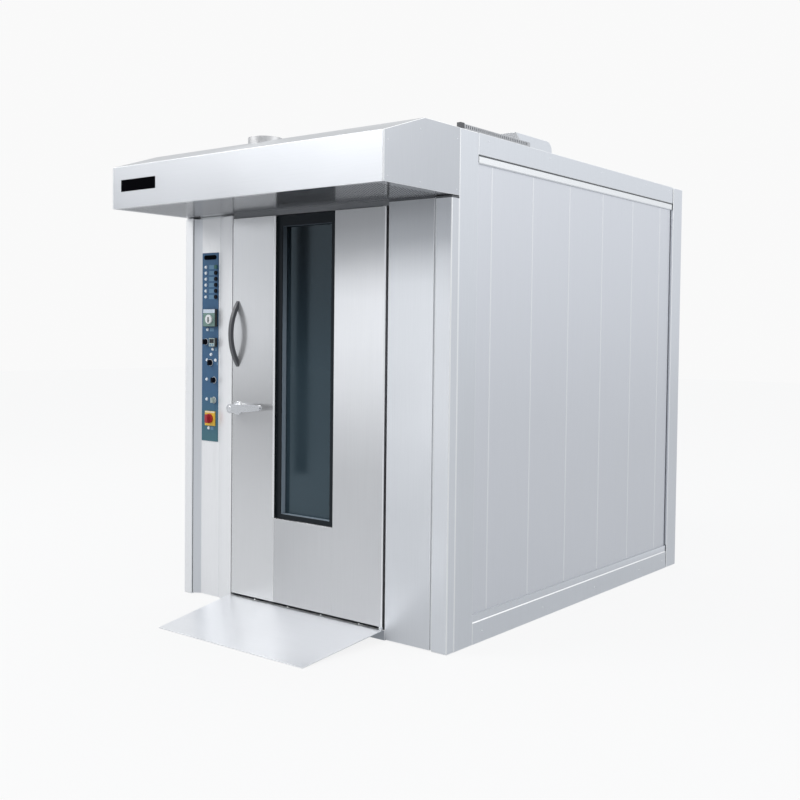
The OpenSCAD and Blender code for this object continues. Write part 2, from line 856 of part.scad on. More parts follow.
module hood_shell() color("#cfd2d6") difference() {
    swept(-side + hood_sheet, side - hood_sheet) polygon([
        [-hood_reach, hood_z], [-hood_reach, fascia_z], [-ridge_reach, body_h],
        [column_d, body_h], [column_d, ridge_z], [-ridge_reach + hood_sheet / 3, ridge_z],
        [-hood_reach + hood_sheet, fascia_z - hood_sheet / 2], [-hood_reach + hood_sheet, hood_z]
    ]);
    at(exhaust_x, -exhaust_reach, ridge_z - cut)
        cylinder(r = exhaust_r - collar_wall, h = hood_sheet + 2 * cut);
}

module hood_cheeks() color("#c9ccd0") both_sides() swept(side - hood_sheet, side) hood_outline();

module hood_grille() color("#9fa3a8")
    block([-side + hood_sheet, -hood_reach + hood_sheet, hood_z],
          [side - hood_sheet, slant_start, hood_z + sheet]);

collar_flange = 16;

// A round duct collar with a flange at its foot
module collar(r, h) difference() {
    union() {
        cylinder(r = r, h = h);
        cylinder(r = r + collar_flange, h = sheet);
    }
    translate([0, 0, -cut]) cylinder(r = r - collar_wall, h = h + 2 * cut);
}

module duct_collars() color("#b8bcc0") {
    at(exhaust_x, -exhaust_reach, body_h) collar(exhaust_r, exhaust_h);
    at(flue_x, flue_depth, body_h) collar(flue_r, flue_h);
}

hood_motor_r = 46;
hood_motor_lift = 60;
hood_motor_z = hood_z + hood_motor_lift;
hood_motor_h = 100;
hood_bracket_w = 40;
hood_shaft_r = 7;
hood_shaft_seat = 50;
hood_wheel_r = exhaust_r - 18;
hood_wheel_h = 50;
hood_wheel_gap = 12;
hood_wheel_z = ridge_z - hood_wheel_gap - hood_wheel_h;
hood_hub_r = 22;
hood_blades = 8;

// A hub with a back plate and straight radial blades
module wheel(r, h, hub_r, count) {
    cylinder(r = r, h = sheet);
    cylinder(r = hub_r, h = h);
    for (i = [0 : count - 1]) rotate(i * 360 / count)
        translate([hub_r - 2, -sheet / 2, 0]) cube([r - hub_r, sheet, h]);
}

module hood_fan() color("#9da1a6") {
    at(exhaust_x, -exhaust_reach, hood_wheel_z) wheel(hood_wheel_r, hood_wheel_h, hood_hub_r, hood_blades);
    at(exhaust_x, -exhaust_reach, hood_motor_z + hood_motor_h - hood_shaft_seat)
        cylinder(r = hood_shaft_r, h = hood_wheel_z - hood_motor_z - hood_motor_h + hood_shaft_seat + 5);
}

// ---- Controls ----

// A ring around a button or a selector, standing on the control strip
bezel_out = 2;
button_rim = 2.5;
selector_rim = 2;

module bezel(x, z, r) rod(x, strip_face - bezel_out, z, r, bezel_out + strip_t);

module control_strip() color("#2f6fb5") difference() {
    union() {
        block([strip_x - strip_w / 2, strip_face, strip_z],
              [strip_x + strip_w / 2, control_depth, strip_z + strip_l]);
        for (i = [0 : 5]) bezel(strip_x + button_x, row_z - i * row_pitch, button_r + button_rim);
        for (p = selector_places) bezel(strip_x + p[0], p[1], selector_r + selector_rim);
    }
    for (i = [0 : 5])
        rod(strip_x + button_x, strip_face - 3, row_z - i * row_pitch,
            button_r + button_play, strip_t + 4);
    for (p = selector_places) {
        rod(strip_x + p[0], strip_face - 3, p[1], stem_r + run_gap, strip_t + 4);
        rod(strip_x + p[0], strip_face - 3, p[1], selector_r + face_play, 3);
    }
    rod(main_x, strip_face - cut, main_z, stem_r + button_play, strip_t + 2 * cut);
}

module panel_display() color("#101215") {
    half = display_w / 2 - display_h / 2;
    block([strip_x - half, strip_face - sheet, display_z - display_h / 2],
          [strip_x + half, strip_face, display_z + display_h / 2]);
    for (s = [-1, 1]) rod(strip_x + s * half, strip_face - sheet, display_z, display_h / 2, sheet);
}

button_l = button_out + strip_t + pocket - 2 * button_travel;

module button(i) color(i == 0 ? "#2f9c78" : "#17181a")
    rod(strip_x + button_x, strip_face - button_out, row_z - i * row_pitch, button_r, button_l);
module button_1() button(0);
module button_2() button(1);
module button_3() button(2);
module button_4() button(3);
module button_5() button(4);
module button_6() button(5);

lamp_rim = 2;

module lamp(x, z) {
    rod(x, strip_face - lamp_rim, z, lamp_r, lamp_rim);
    rod(x, strip_face - lamp_out, z, lamp_r - lamp_rim, lamp_out);
}

module indicator_lamps() color("#eef1f2") {
    for (i = [0 : 5]) lamp(strip_x + lamp_x, row_z - i * row_pitch);
    for (p = lone_lamps) lamp(strip_x + p[0], p[1]);
}

dial_shift = 6;
dial_drop = 8;
dial_x = controller_x + dial_shift;
dial_z = controller_z - dial_drop;
dial_stem_r = stem_r - 1;
dial_seat = 10;

module temperature_controller() color("#35a07f") difference() {
    block([controller_x - controller_size / 2, strip_face - instrument_out,
           controller_z - controller_size / 2],
          [controller_x + controller_size / 2, strip_face, controller_z + controller_size / 2]);
    rod(dial_x, strip_face - instrument_out - cut, dial_z,
        dial_stem_r + run_gap, dial_seat + 2 * cut);
}

module temperature_dial() color("#eceff0") {
    rod(dial_x, strip_face - instrument_out - dial_out, dial_z, dial_r,
        dial_out - face_play);
    rod(dial_x, strip_face - instrument_out - dial_out, dial_z, dial_stem_r,
        dial_out + dial_seat);
}

module cycle_timer() color("#202225") difference() {
    rim = 6;
    sunk = 1.5;
    window_low = timer_z - 4;
    block([strip_x + timer_x - timer_size / 2, strip_face - instrument_out,
           timer_z - timer_size / 2],
          [strip_x + timer_x + timer_size / 2, strip_face, timer_z + timer_size / 2]);
    block([strip_x + timer_x - timer_size / 2 + rim, strip_face - instrument_out - cut, window_low],
          [strip_x + timer_x + timer_size / 2 - rim, strip_face - instrument_out + sunk,
           timer_z + timer_size / 2 - rim]);
}

lever_bar = 9;
selector_base = 9;

module selector(i) color(i == 3 ? "#b9c7bd" : "#1a1b1d") {
    p = selector_places[i];
    rod(strip_x + p[0], strip_face - selector_base, p[1], selector_r, selector_base - face_play);
    block([strip_x + p[0] - lever_bar / 2, strip_face - selector_out, p[1] - selector_r + 1],
          [strip_x + p[0] + lever_bar / 2, strip_face - selector_base, p[1] + selector_r - 1]);
    rod(strip_x + p[0], strip_face - selector_base, p[1], stem_r, selector_base + strip_t + 10);
}
module selector_1() selector(0);
module selector_2() selector(1);
module selector_3() selector(2);
module selector_4() selector(3);

main_plate_t = 6;

module main_switch_plate() color("#f2c230") difference() {
    block([main_x - main_plate / 2, strip_face - main_plate_t, main_z - main_plate / 2],
          [main_x + main_plate / 2, strip_face, main_z + main_plate / 2]);
    rod(main_x, strip_face - main_plate_t - cut, main_z, stem_r + run_gap,
        main_plate_t + 2 * cut);
}

module main_switch_knob() color("#c3241c") {
    base_l = 12;
    grip_w = 18;
    rod(main_x, strip_face - main_plate_t - face_play - base_l, main_z, main_r, base_l);
    block([main_x - grip_w / 2, strip_face - main_out, main_z - main_r + 3],
          [main_x + grip_w / 2, strip_face - main_plate_t - base_l, main_z + main_r - 3]);
    rod(main_x, strip_face - main_out + 2, main_z, stem_r, main_out + strip_t + 8);
}

// ---- Inside ----

half_chamber = chamber_w / 2;
port_inset = 12;
port_low = 300;
port_high = 1800;

module chamber_liner() color("#b4b8bc") difference() {
    union() {
        block([-inner, frame_back, floor_t], [inner, chamber_back, sill_h]);
        block([-inner, chamber_back, floor_t], [inner, chamber_back + liner_t, chamber_top]);
        block([-inner, frame_back, chamber_top],
              [inner, chamber_back + liner_t, chamber_top + liner_t]);
    }
    both_sides() block([half_chamber + liner_t + port_inset, chamber_back - cut, port_low],
                       [inner - port_inset, chamber_back + liner_t + cut, port_high]);
    at(0, hook_depth, chamber_top - cut) cylinder(r = shaft_r + pass_gap, h = liner_t + 2 * cut);
}

slot_row_pitch = chamber_h / (slot_rows + 1);
slot_column_pitch = chamber_d / (slot_columns + 1);

module air_panels() color("#bfc3c7") both_sides() difference() {
    block([half_chamber, frame_back, sill_h], [half_chamber + liner_t, chamber_back, chamber_top]);
    for (i = [1 : slot_columns], j = [1 : slot_rows])
        block([half_chamber - cut, frame_back + i * slot_column_pitch - slot_w / 2,
               sill_h + j * slot_row_pitch - slot_h / 2],
              [half_chamber + liner_t + cut, frame_back + i * slot_column_pitch + slot_w / 2,
               sill_h + j * slot_row_pitch + slot_h / 2]);
}

module drive_gearmotor() color("#5f7f95") difference() {
    union() {
        block([-gear_l / 2 - foot_rim, hook_depth - gear_w / 2 - foot_rim, body_h],
              [gear_l / 2 + foot_rim, hook_depth + gear_w / 2 + foot_rim, body_h + foot_t]);
        block([-gear_l / 2, hook_depth - gear_w / 2, body_h + foot_t],
              [gear_l / 2, hook_depth + gear_w / 2, body_h + foot_t + gear_h]);
        at(gear_l / 2, hook_depth, body_h + foot_t + gear_h / 2) rotate([0, 90, 0])
            cylinder(r = gear_motor_r, h = gear_motor_l);
    }
    at(0, hook_depth, body_h - cut)
        cylinder(r = shaft_r + run_gap, h = foot_t + shaft_seat + 2 * cut);
}

module rack_hook() color("#9ea3a8") {
    bar_t = 14;
    bar_w = 44;
    claw_h = 46;
    collar_w = 20;
    collar_h = 34;
    at(0, hook_depth, hook_z) {
        cylinder(r = shaft_r, h = body_h + foot_t + shaft_seat - hook_z);
        cylinder(r = shaft_r + collar_w, h = collar_h);
        translate([-hook_w / 2, -bar_w / 2, 0]) cube([hook_w, bar_w, bar_t]);
        for (s = [-1, 1]) {
            translate([s * (hook_w / 2 - bar_t / 2) - bar_t / 2, -bar_w / 2, -claw_h])
                cube([bar_t, bar_w, claw_h]);
            translate([s * (hook_w / 2 - bar_w / 2) - bar_w / 2, -bar_w / 2, -claw_h - bar_t])
                cube([bar_w, bar_w, bar_t]);
        }
    }
}

wheel_drop = 40;
wheel_z = body_h - roof_t - wheel_drop - wheel_h;
fan_hub_r = 60;
fan_shaft_seat = 120;
motor_flange = 30;

module circulation_fan() color("#9aa0a6") at(0, fan_depth, wheel_z) {
    wheel(wheel_r, wheel_h, fan_hub_r, blades);
    cylinder(r = fan_shaft_r, h = body_h - wheel_z + fan_shaft_seat);
}

module fan_motors() color("#6d8296") {
    at(0, fan_depth, body_h) difference() {
        union() {
            cylinder(r = motor_r + motor_flange, h = foot_t);
            cylinder(r = motor_r, h = foot_t + motor_h);
        }
        translate([0, 0, -cut]) cylinder(r = fan_shaft_r + run_gap, h = fan_shaft_seat + 2 * cut);
    }
    difference() {
        union() {
            at(exhaust_x, -exhaust_reach, hood_motor_z) cylinder(r = hood_motor_r, h = hood_motor_h);
            block([exhaust_x - hood_bracket_w / 2, -exhaust_reach, hood_motor_z],
                  [exhaust_x + hood_bracket_w / 2, slant_start, hood_motor_z + foot_t]);
        }
        at(exhaust_x, -exhaust_reach, hood_motor_z + hood_motor_h - hood_shaft_seat - cut)
            cylinder(r = hood_shaft_r + run_gap, h = hood_shaft_seat + 2 * cut);
    }
}

// The cover's outline from the side: its front leans out to the top edge, its rear edge is round
module cover_outline(in) {
    slant = sqrt(cover_lean * cover_lean + cover_lean_h * cover_lean_h);
    front = cover_depth + cover_lean + in;
    back = cover_depth + cover_l - in;
    low = body_h - (in > 0 ? cut : 0);
    high = body_h + cover_h - in;
    knee = body_h + cover_h - ((cover_lean + in) * cover_lean_h - in * slant) / cover_lean;
    nose = cover_depth + in * (slant + cover_lean) / cover_lean_h;
    corner = cover_corner - in;
    polygon(concat(
        [[front, low], [front, knee], [nose, high]],
        [for (i = [0 : arc_steps])
            [back - corner + corner * sin(90 * i / arc_steps),
             high - corner + corner * cos(90 * i / arc_steps)]],
        [[back, low]]
    ));
}

module fan_motor_cover() color("#c5c9cd") difference() {
    swept(-cover_w / 2, cover_w / 2) cover_outline(0);
    swept(-cover_w / 2 + sheet, cover_w / 2 - sheet) cover_outline(sheet);
}

module heat_exchanger() color("#8c8f93") {
    for (z = [floor_t, floor_t + exchanger_h - box_h])
        block([-exchanger_w / 2, exchanger_depth, z],
              [exchanger_w / 2, exchanger_depth + exchanger_l, z + box_h]);
    for (i = [0 : tubes - 1], j = [0 : tube_rows - 1])
        at(-exchanger_w / 2 + (i + 0.5) * exchanger_w / tubes,
           exchanger_depth + (j + 0.5) * exchanger_l / tube_rows, floor_t + box_h / 2)
            cylinder(r = tube_r, h = exchanger_h - box_h);
}

module burner() color("#b5482f") {
    rod(0, exchanger_depth + exchanger_l, floor_t + box_h / 2, blast_r,
        burner_depth - exchanger_depth - exchanger_l + cut);
    block([-burner_w / 2, burner_depth, floor_t],
          [burner_w / 2, burner_depth + burner_l, floor_t + burner_h]);
    at(burner_w / 2, burner_depth + burner_l / 2, floor_t + burner_h - scroll_r - cut)
        rotate([0, 90, 0]) cylinder(r = scroll_r, h = scroll_w);
}

duct_x = side - gland_w / 2;
gland_start = column_d + 2;
gland_end = gland_start + gland_l;

module cable_duct() color("#8d9196") {
    block([side - gland_w, gland_start, body_h], [side, gland_end, body_h + gland_h]);
    difference() {
        block([duct_x - duct_w / 2, gland_end, body_h],
              [duct_x + duct_w / 2, duct_end, body_h + duct_h]);
        block([duct_x - duct_w / 2 + duct_wall, gland_end + duct_wall, body_h + duct_wall],
              [duct_x + duct_w / 2 - duct_wall, duct_end - duct_wall,
               body_h + duct_h - duct_wall]);
        for (y = [gland_end + duct_pitch : duct_pitch : duct_end - duct_pitch])
            block([duct_x - duct_w, y - duct_slot / 2, body_h + 2 * duct_wall],
                  [duct_x + duct_w, y + duct_slot / 2, body_h + duct_h - 2 * duct_wall]);
    }
}

base_frame();
corner_posts();
top_rails();
side_wall_panels();
rear_wall_panels();
roof_panels();
corner_columns();
right_front_panel();
control_column();
latch_jamb();
door_frame();
header_beam();
threshold();
ramp();
door_stiles();
door_lower_panel();
door_liner();
door_insulation();
window_frame();
window_panes();
door_gasket();
bow_handle();
latch_rose();
latch_lever();
latch_bolt();
latch_keeper();
hinge_pivots();
hood_shell();
hood_cheeks();
hood_grille();
duct_collars();
hood_fan();
control_strip();
panel_display();
button_1();
button_2();
button_3();
button_4();
button_5();
button_6();
indicator_lamps();
temperature_controller();
temperature_dial();
cycle_timer();
selector_1();
selector_2();
selector_3();
selector_4();
main_switch_plate();
main_switch_knob();
chamber_liner();
air_panels();
drive_gearmotor();
rack_hook();
circulation_fan();
fan_motors();
fan_motor_cover();
heat_exchanger();
burner();
cable_duct();
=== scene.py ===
import json
import math

import bmesh
import bpy
from mathutils import Euler, Matrix, Vector

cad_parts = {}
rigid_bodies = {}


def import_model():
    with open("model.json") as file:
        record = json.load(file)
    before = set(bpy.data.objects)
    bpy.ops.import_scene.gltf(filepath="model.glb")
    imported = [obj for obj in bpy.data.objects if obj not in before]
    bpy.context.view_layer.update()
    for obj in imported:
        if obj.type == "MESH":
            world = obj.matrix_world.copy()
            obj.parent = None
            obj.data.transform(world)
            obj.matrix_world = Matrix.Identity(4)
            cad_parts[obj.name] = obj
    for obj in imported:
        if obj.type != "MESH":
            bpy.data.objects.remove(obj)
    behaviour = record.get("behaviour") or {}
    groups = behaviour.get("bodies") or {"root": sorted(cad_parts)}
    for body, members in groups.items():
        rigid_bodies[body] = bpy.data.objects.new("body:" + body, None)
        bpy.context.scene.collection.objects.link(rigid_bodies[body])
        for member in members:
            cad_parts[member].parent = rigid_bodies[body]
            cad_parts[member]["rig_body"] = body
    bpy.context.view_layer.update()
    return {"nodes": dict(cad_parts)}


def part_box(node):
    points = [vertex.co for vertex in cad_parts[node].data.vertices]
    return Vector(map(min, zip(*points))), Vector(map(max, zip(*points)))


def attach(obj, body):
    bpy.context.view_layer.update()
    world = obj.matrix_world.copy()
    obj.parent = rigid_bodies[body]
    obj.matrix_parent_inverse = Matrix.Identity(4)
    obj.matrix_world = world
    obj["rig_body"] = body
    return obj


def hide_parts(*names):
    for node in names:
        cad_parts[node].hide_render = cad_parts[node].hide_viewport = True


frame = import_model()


# ---- Camera ----
# The photographer stood to the right of the door, with the camera above its middle and
# almost level. The frame is square, and the horizon lies slightly above its middle.

def place_camera():
    stand = (3.6442, -5.1146, 1.4632)
    yaw, pitch, roll = 0.66601, 0.03443, 0.01129
    ahead = Vector((-math.sin(yaw) * math.cos(pitch), math.cos(yaw) * math.cos(pitch),
                    -math.sin(pitch)))
    level = Vector((math.cos(yaw), math.sin(yaw), 0))
    upright = level.cross(ahead)
    right = level * math.cos(roll) + upright * math.sin(roll)
    up = upright * math.cos(roll) - level * math.sin(roll)
    data = bpy.data.cameras.new("camera")
    data.sensor_width = 36
    data.lens = 47.07
    data.shift_y = -0.0375
    data.clip_end = 100
    camera = bpy.data.objects.new("camera", data)
    axes = Matrix((right, up, -ahead)).transposed()
    camera.matrix_world = Matrix.Translation(stand) @ axes.to_4x4()
    bpy.context.collection.objects.link(camera)
    bpy.context.scene.camera = camera


place_camera()
bpy.context.scene.view_settings.view_transform = "Standard"


# ---- Studio ----
# A pale seamless floor under a soft white surround that brightens with height, and two wide
# soft boxes, one to the left front and one to the right. Behind the oven all is white.

def feed(tree, node, inputs):
    """Gives inputs of a node their values. An input that is given a socket is linked to it."""
    for name, given in inputs.items():
        if isinstance(given, bpy.types.NodeSocket):
            tree.links.new(given, node.inputs[name])
        else:
            node.inputs[name].default_value = given


def node_setup(tree, kind, at, inputs=None, **settings):
    """Adds a node to a tree, at a place in the tree's drawing, and feeds its inputs."""
    made = tree.nodes.new(kind)
    made.location = at
    for key, value in settings.items():
        setattr(made, key, value)
    feed(tree, made, inputs or {})
    return made


def any_ray(tree, *kinds):
    """1 for the kinds of ray that are named, and 0 for the others."""
    path = node_setup(tree, "ShaderNodeLightPath", (-700, -400))
    total = path.outputs[kinds[0]]
    for kind in kinds[1:]:
        either = node_setup(tree, "ShaderNodeMath", (-500, -400),
                            {0: total, 1: path.outputs[kind]}, operation="MAXIMUM")
        total = either.outputs[0]
    return total


def studio_world():
    """A soft light from all round: dim near the floor, bright overhead, and a little dimmer
    towards the left front. The camera, and what it sees through glass, meet plain white."""
    world = bpy.data.worlds.new("studio")
    bpy.context.scene.world = world
    world.use_nodes = True
    tree = world.node_tree
    tree.nodes.clear()
    direction = node_setup(tree, "ShaderNodeTexCoord", (-1300, 0)).outputs["Generated"]
    parts = node_setup(tree, "ShaderNodeSeparateXYZ", (-1100, 100), {0: direction})
    height = node_setup(tree, "ShaderNodeMapRange", (-900, 100), {
        "From Min": -0.10, "From Max": 0.60, "Value": parts.outputs["Z"]})
    tone = node_setup(tree, "ShaderNodeValToRGB", (-700, 100), {"Fac": height.outputs["Result"]})
    tone.color_ramp.elements[0].color = (0.56, 0.58, 0.61, 1)
    tone.color_ramp.elements[1].color = (0.95, 0.95, 0.95, 1)
    for place, colour in ((0.143, (0.61, 0.63, 0.66, 1)), (0.43, (0.72, 0.74, 0.77, 1))):
        tone.color_ramp.elements.new(place).color = colour
    leftwards = node_setup(tree, "ShaderNodeVectorMath", (-1100, -150), {
        0: direction, 1: (-0.66, -0.75, 0)}, operation="DOT_PRODUCT")
    lift = node_setup(tree, "ShaderNodeMapRange", (-900, -150), {
        "From Min": -1, "To Min": 1.20, "To Max": 0.93, "Value": leftwards.outputs["Value"]})
    graded = node_setup(tree, "ShaderNodeVectorMath", (-400, 100), {
        0: tone.outputs["Color"], "Scale": lift.outputs["Result"]}, operation="SCALE")
    soft = node_setup(tree, "ShaderNodeBackground", (-200, 100), {
        "Color": graded.outputs["Vector"]})
    white = node_setup(tree, "ShaderNodeBackground", (-200, -100), {
        "Color": (0.95, 0.95, 0.95, 1)})
    choose = node_setup(tree, "ShaderNodeMixShader", (0, 0), {
        "Fac": any_ray(tree, "Is Camera Ray", "Is Transmission Ray"),
        1: soft.outputs[0], 2: white.outputs[0]})
    node_setup(tree, "ShaderNodeOutputWorld", (200, 0), {"Surface": choose.outputs[0]})


def soft_box(name, place, target, size, watts):
    """A lamp behind a wide sheet of diffusing cloth, aimed at a target."""
    data = bpy.data.lights.new(name, "AREA")
    data.shape = "RECTANGLE"
    data.size, data.size_y = size
    data.energy = watts
    lamp = bpy.data.objects.new(name, data)
    aim = (Vector(target) - Vector(place)).to_track_quat("-Z", "Y")
    lamp.matrix_world = Matrix.Translation(place) @ aim.to_matrix().to_4x4()
    lamp.visible_camera = False
    bpy.context.collection.objects.link(lamp)


def studio_floor():
    """A matt floor that keeps the oven's shadow. It is whiter to the camera and through
    glass than it is as a light, and pale in the metal's reflections."""
    reach = 30
    data = bpy.data.meshes.new("floor")
    data.from_pydata([(-reach, -reach, 0), (reach, -reach, 0), (reach, reach, 0),
                      (-reach, reach, 0)], [], [(0, 1, 2, 3)])
    floor = bpy.data.objects.new("floor", data)
    bpy.context.collection.objects.link(floor)
    paint = bpy.data.materials.new("floor_paint")
    paint.use_nodes = True
    tree = paint.node_tree
    tree.nodes.clear()
    matt = node_setup(tree, "ShaderNodeBsdfDiffuse", (-300, 100), {
        "Color": (0.50, 0.51, 0.52, 1)})
    shown = matt.outputs[0]
    for rays, share, colour in ((("Is Glossy Ray",), 0.55, (0.66, 0.68, 0.71, 1)),
                                (("Is Camera Ray", "Is Transmission Ray"), 0.80,
                                 (1.05, 1.05, 1.05, 1))):
        glow = node_setup(tree, "ShaderNodeEmission", (-300, -100), {"Color": colour})
        clear = node_setup(tree, "ShaderNodeMixShader", (-100, -50), {
            "Fac": share, 1: matt.outputs[0], 2: glow.outputs[0]})
        choose = node_setup(tree, "ShaderNodeMixShader", (100, 0), {
            "Fac": any_ray(tree, *rays), 1: shown, 2: clear.outputs[0]})
        shown = choose.outputs[0]
    node_setup(tree, "ShaderNodeOutputMaterial", (300, 0), {"Surface": shown})
    data.materials.append(paint)


studio_world()
studio_floor()
soft_box("front_box", (-4.0, -5.0, 5.8), target=(0, -1.27, 1.7), size=(5.0, 4.0), watts=200)
soft_box("side_box", (7.5, 1.5, 6.0), target=(0.9, 0.4, 1.2), size=(6.0, 4.5), watts=120)


# ---- Base frame ----
# A ring of folded stainless channels that stands on the floor round an insulated pan. The
# steel has a fine upright grain, and every bend is slightly round and carries a brighter steel, a
# painted glint. The channels' upward top faces carry a darker steel: painted shade.

MM = 0.001
BODY_TOP = 2.4


def steel(name, tint, roughness, grain=(420, 420, 7), contrast=0.035, smear=0.05, bump=0.05,
          stretch=0.0, metallic=1.0, painted_light_levels=()):
    """Brushed steel: a fine grain drawn out along one axis, and faint wide smears. Stretch
    draws the reflections out upwards, as level brushing does. Painted light levels are heights
    with a share of the tint that is left there: painted shade and painted highlight by height."""
    made = bpy.data.materials.new(name)
    made.use_nodes = True
    tree = made.node_tree
    place = node_setup(tree, "ShaderNodeTexCoord", (-1100, 0)).outputs["Object"]
    drawn = node_setup(tree, "ShaderNodeMapping", (-900, 100), {"Scale": grain, "Vector": place})
    lines = node_setup(tree, "ShaderNodeTexNoise", (-700, 100), {
        "Scale": 1.0, "Detail": 3.0, "Vector": drawn.outputs["Vector"]}).outputs["Fac"]
    tone = node_setup(tree, "ShaderNodeMapRange", (-500, 200), {
        "From Min": 0.3, "From Max": 0.7, "To Min": 1.0 - contrast, "To Max": 1.0,
        "Value": lines})
    shade = tone.outputs["Result"]
    if painted_light_levels:
        parts = node_setup(tree, "ShaderNodeSeparateXYZ", (-900, 500), {0: place})
        rise = node_setup(tree, "ShaderNodeMath", (-750, 500), {
            0: parts.outputs["Z"], 1: BODY_TOP}, operation="DIVIDE")
        painted_light_ramp = node_setup(tree, "ShaderNodeValToRGB", (-600, 500), {"Fac": rise.outputs[0]})
        ramp = painted_light_ramp.color_ramp.elements
        for spot, (height, share) in zip((ramp[0], ramp[1]), (painted_light_levels[0], painted_light_levels[-1])):
            spot.position = height / BODY_TOP
            spot.color = (share, share, share, 1)
        for height, share in painted_light_levels[1:-1]:
            ramp.new(height / BODY_TOP).color = (share, share, share, 1)
        graded = node_setup(tree, "ShaderNodeMath", (-400, 400), {
            0: shade, 1: painted_light_ramp.outputs["Color"]}, operation="MULTIPLY")
        shade = graded.outputs[0]
    colour = node_setup(tree, "ShaderNodeVectorMath", (-300, 200), {
        0: tint, "Scale": shade}, operation="SCALE")
    patches = node_setup(tree, "ShaderNodeTexNoise", (-700, -150), {
        "Scale": 2.3, "Detail": 2.0, "Vector": place})
    blur = node_setup(tree, "ShaderNodeMapRange", (-500, -150), {
        "To Min": roughness - smear, "To Max": roughness + smear,
        "Value": patches.outputs["Fac"]})
    relief = node_setup(tree, "ShaderNodeBump", (-300, -350), {
        "Strength": bump, "Distance": 0.0004, "Height": lines})
    feed(tree, tree.nodes["Principled BSDF"], {
        "Metallic": metallic, "Anisotropic": stretch, "Anisotropic Rotation": 0.25,
        "Base Color": colour.outputs["Vector"], "Roughness": blur.outputs["Result"],
        "Normal": relief.outputs["Normal"]})
    return made


def link_piece(name, data, body, slot, *finishes):
    """Puts a finished mesh in the scene, riding on its body."""
    piece = bpy.data.objects.new(name, data)
    bpy.context.collection.objects.link(piece)
    data.materials.clear()
    for finish in finishes:
        data.materials.append(finish)
    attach(piece, body)
    return piece


def applied(piece):
    """The piece's own mesh with its modifiers worked in."""
    view = bpy.context.evaluated_depsgraph_get()
    data = bpy.data.meshes.new_from_object(piece.evaluated_get(view),
                                           preserve_all_data_layers=True, depsgraph=view)
    old = piece.data
    piece.modifiers.clear()
    piece.data = data
    bpy.data.meshes.remove(old)
    return piece


def smoothed(data, crease):
    """Shades a mesh as one curve, apart from the edges that turn by more than the crease."""
    data.polygons.foreach_set("use_smooth", [True] * len(data.polygons))
    data.set_sharp_from_angle(angle=math.radians(crease))


def folded(node, slot, finish, fold=1.5 * MM, segments=2, edge=None):
    """A CAD node's own shape with its sheet-metal bends rounded, shown in its place. Edge
    is a second finish for the bends alone; the brighter one given paints a glint along them."""
    weld, flat, crease = 0.01 * MM, math.radians(0.5), 35
    source = frame["nodes"][node]
    mesh = bmesh.new()
    mesh.from_mesh(source.data)
    bmesh.ops.remove_doubles(mesh, verts=mesh.verts, dist=weld)
    bmesh.ops.dissolve_limit(mesh, angle_limit=flat, verts=mesh.verts, edges=mesh.edges,
                             delimit={"NORMAL"})
    data = bpy.data.meshes.new(node + "_skin")
    mesh.to_mesh(data)
    mesh.free()
    piece = link_piece(node + "_skin", data, source["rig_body"], slot, finish, edge or finish)
    round_off = piece.modifiers.new("fold", "BEVEL")
    round_off.material = 1 if edge else 0
    round_off.width = fold
    round_off.segments = segments
    round_off.limit_method = "ANGLE"
    round_off.angle_limit = math.radians(crease)
    round_off.harden_normals = True
    smoothed(data, crease)
    applied(piece)
    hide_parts(node)
    return piece


def pick_out(piece, finish, chosen):
    """Gives a second finish to the faces that a test chooses."""
    piece.data.materials.append(finish)
    for side in piece.data.polygons:
        if chosen(side):
            side.material_index = len(piece.data.materials) - 1


casing_steel = steel("casing_steel", (0.80, 0.82, 0.85), 0.30)
# A brighter steel for bends and thin strips: a painted glint along them.
painted_glint_steel = steel("painted_glint_steel", (0.97, 0.98, 0.985), 0.42, contrast=0.02, bump=0.02)
base = folded("base_frame", "stainless", casing_steel, fold=2.5 * MM, edge=painted_glint_steel)
# The upward faces along the channels' top get a darker steel: painted shade that keeps the sky's
# glare off them.
painted_shade_edge = steel("painted_shade_edge", (0.50, 0.52, 0.55), 0.42)
channel_top, upward = 0.135, 0.2
pick_out(base, painted_shade_edge, lambda side: side.center.z > channel_top and side.normal.z > upward)


# ---- Corner posts and roof rails ----
# Folded stainless posts at the four corners, and the rails that tie their tops together.
# A narrow trim runs under the side rails, near-white as a painted highlight, with a painted
# shadow line over it. Thin bright strips down the posts are painted glints.

front_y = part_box("corner_columns")[0].y


def depth_y(depth):
    """The place of a depth that is given in millimetres behind the front plane."""
    return front_y + depth * MM


folded("corner_posts", "stainless", casing_steel, fold=4 * MM, segments=3, edge=painted_glint_steel)
folded("top_rails", "stainless", casing_steel, fold=2 * MM, edge=painted_glint_steel)


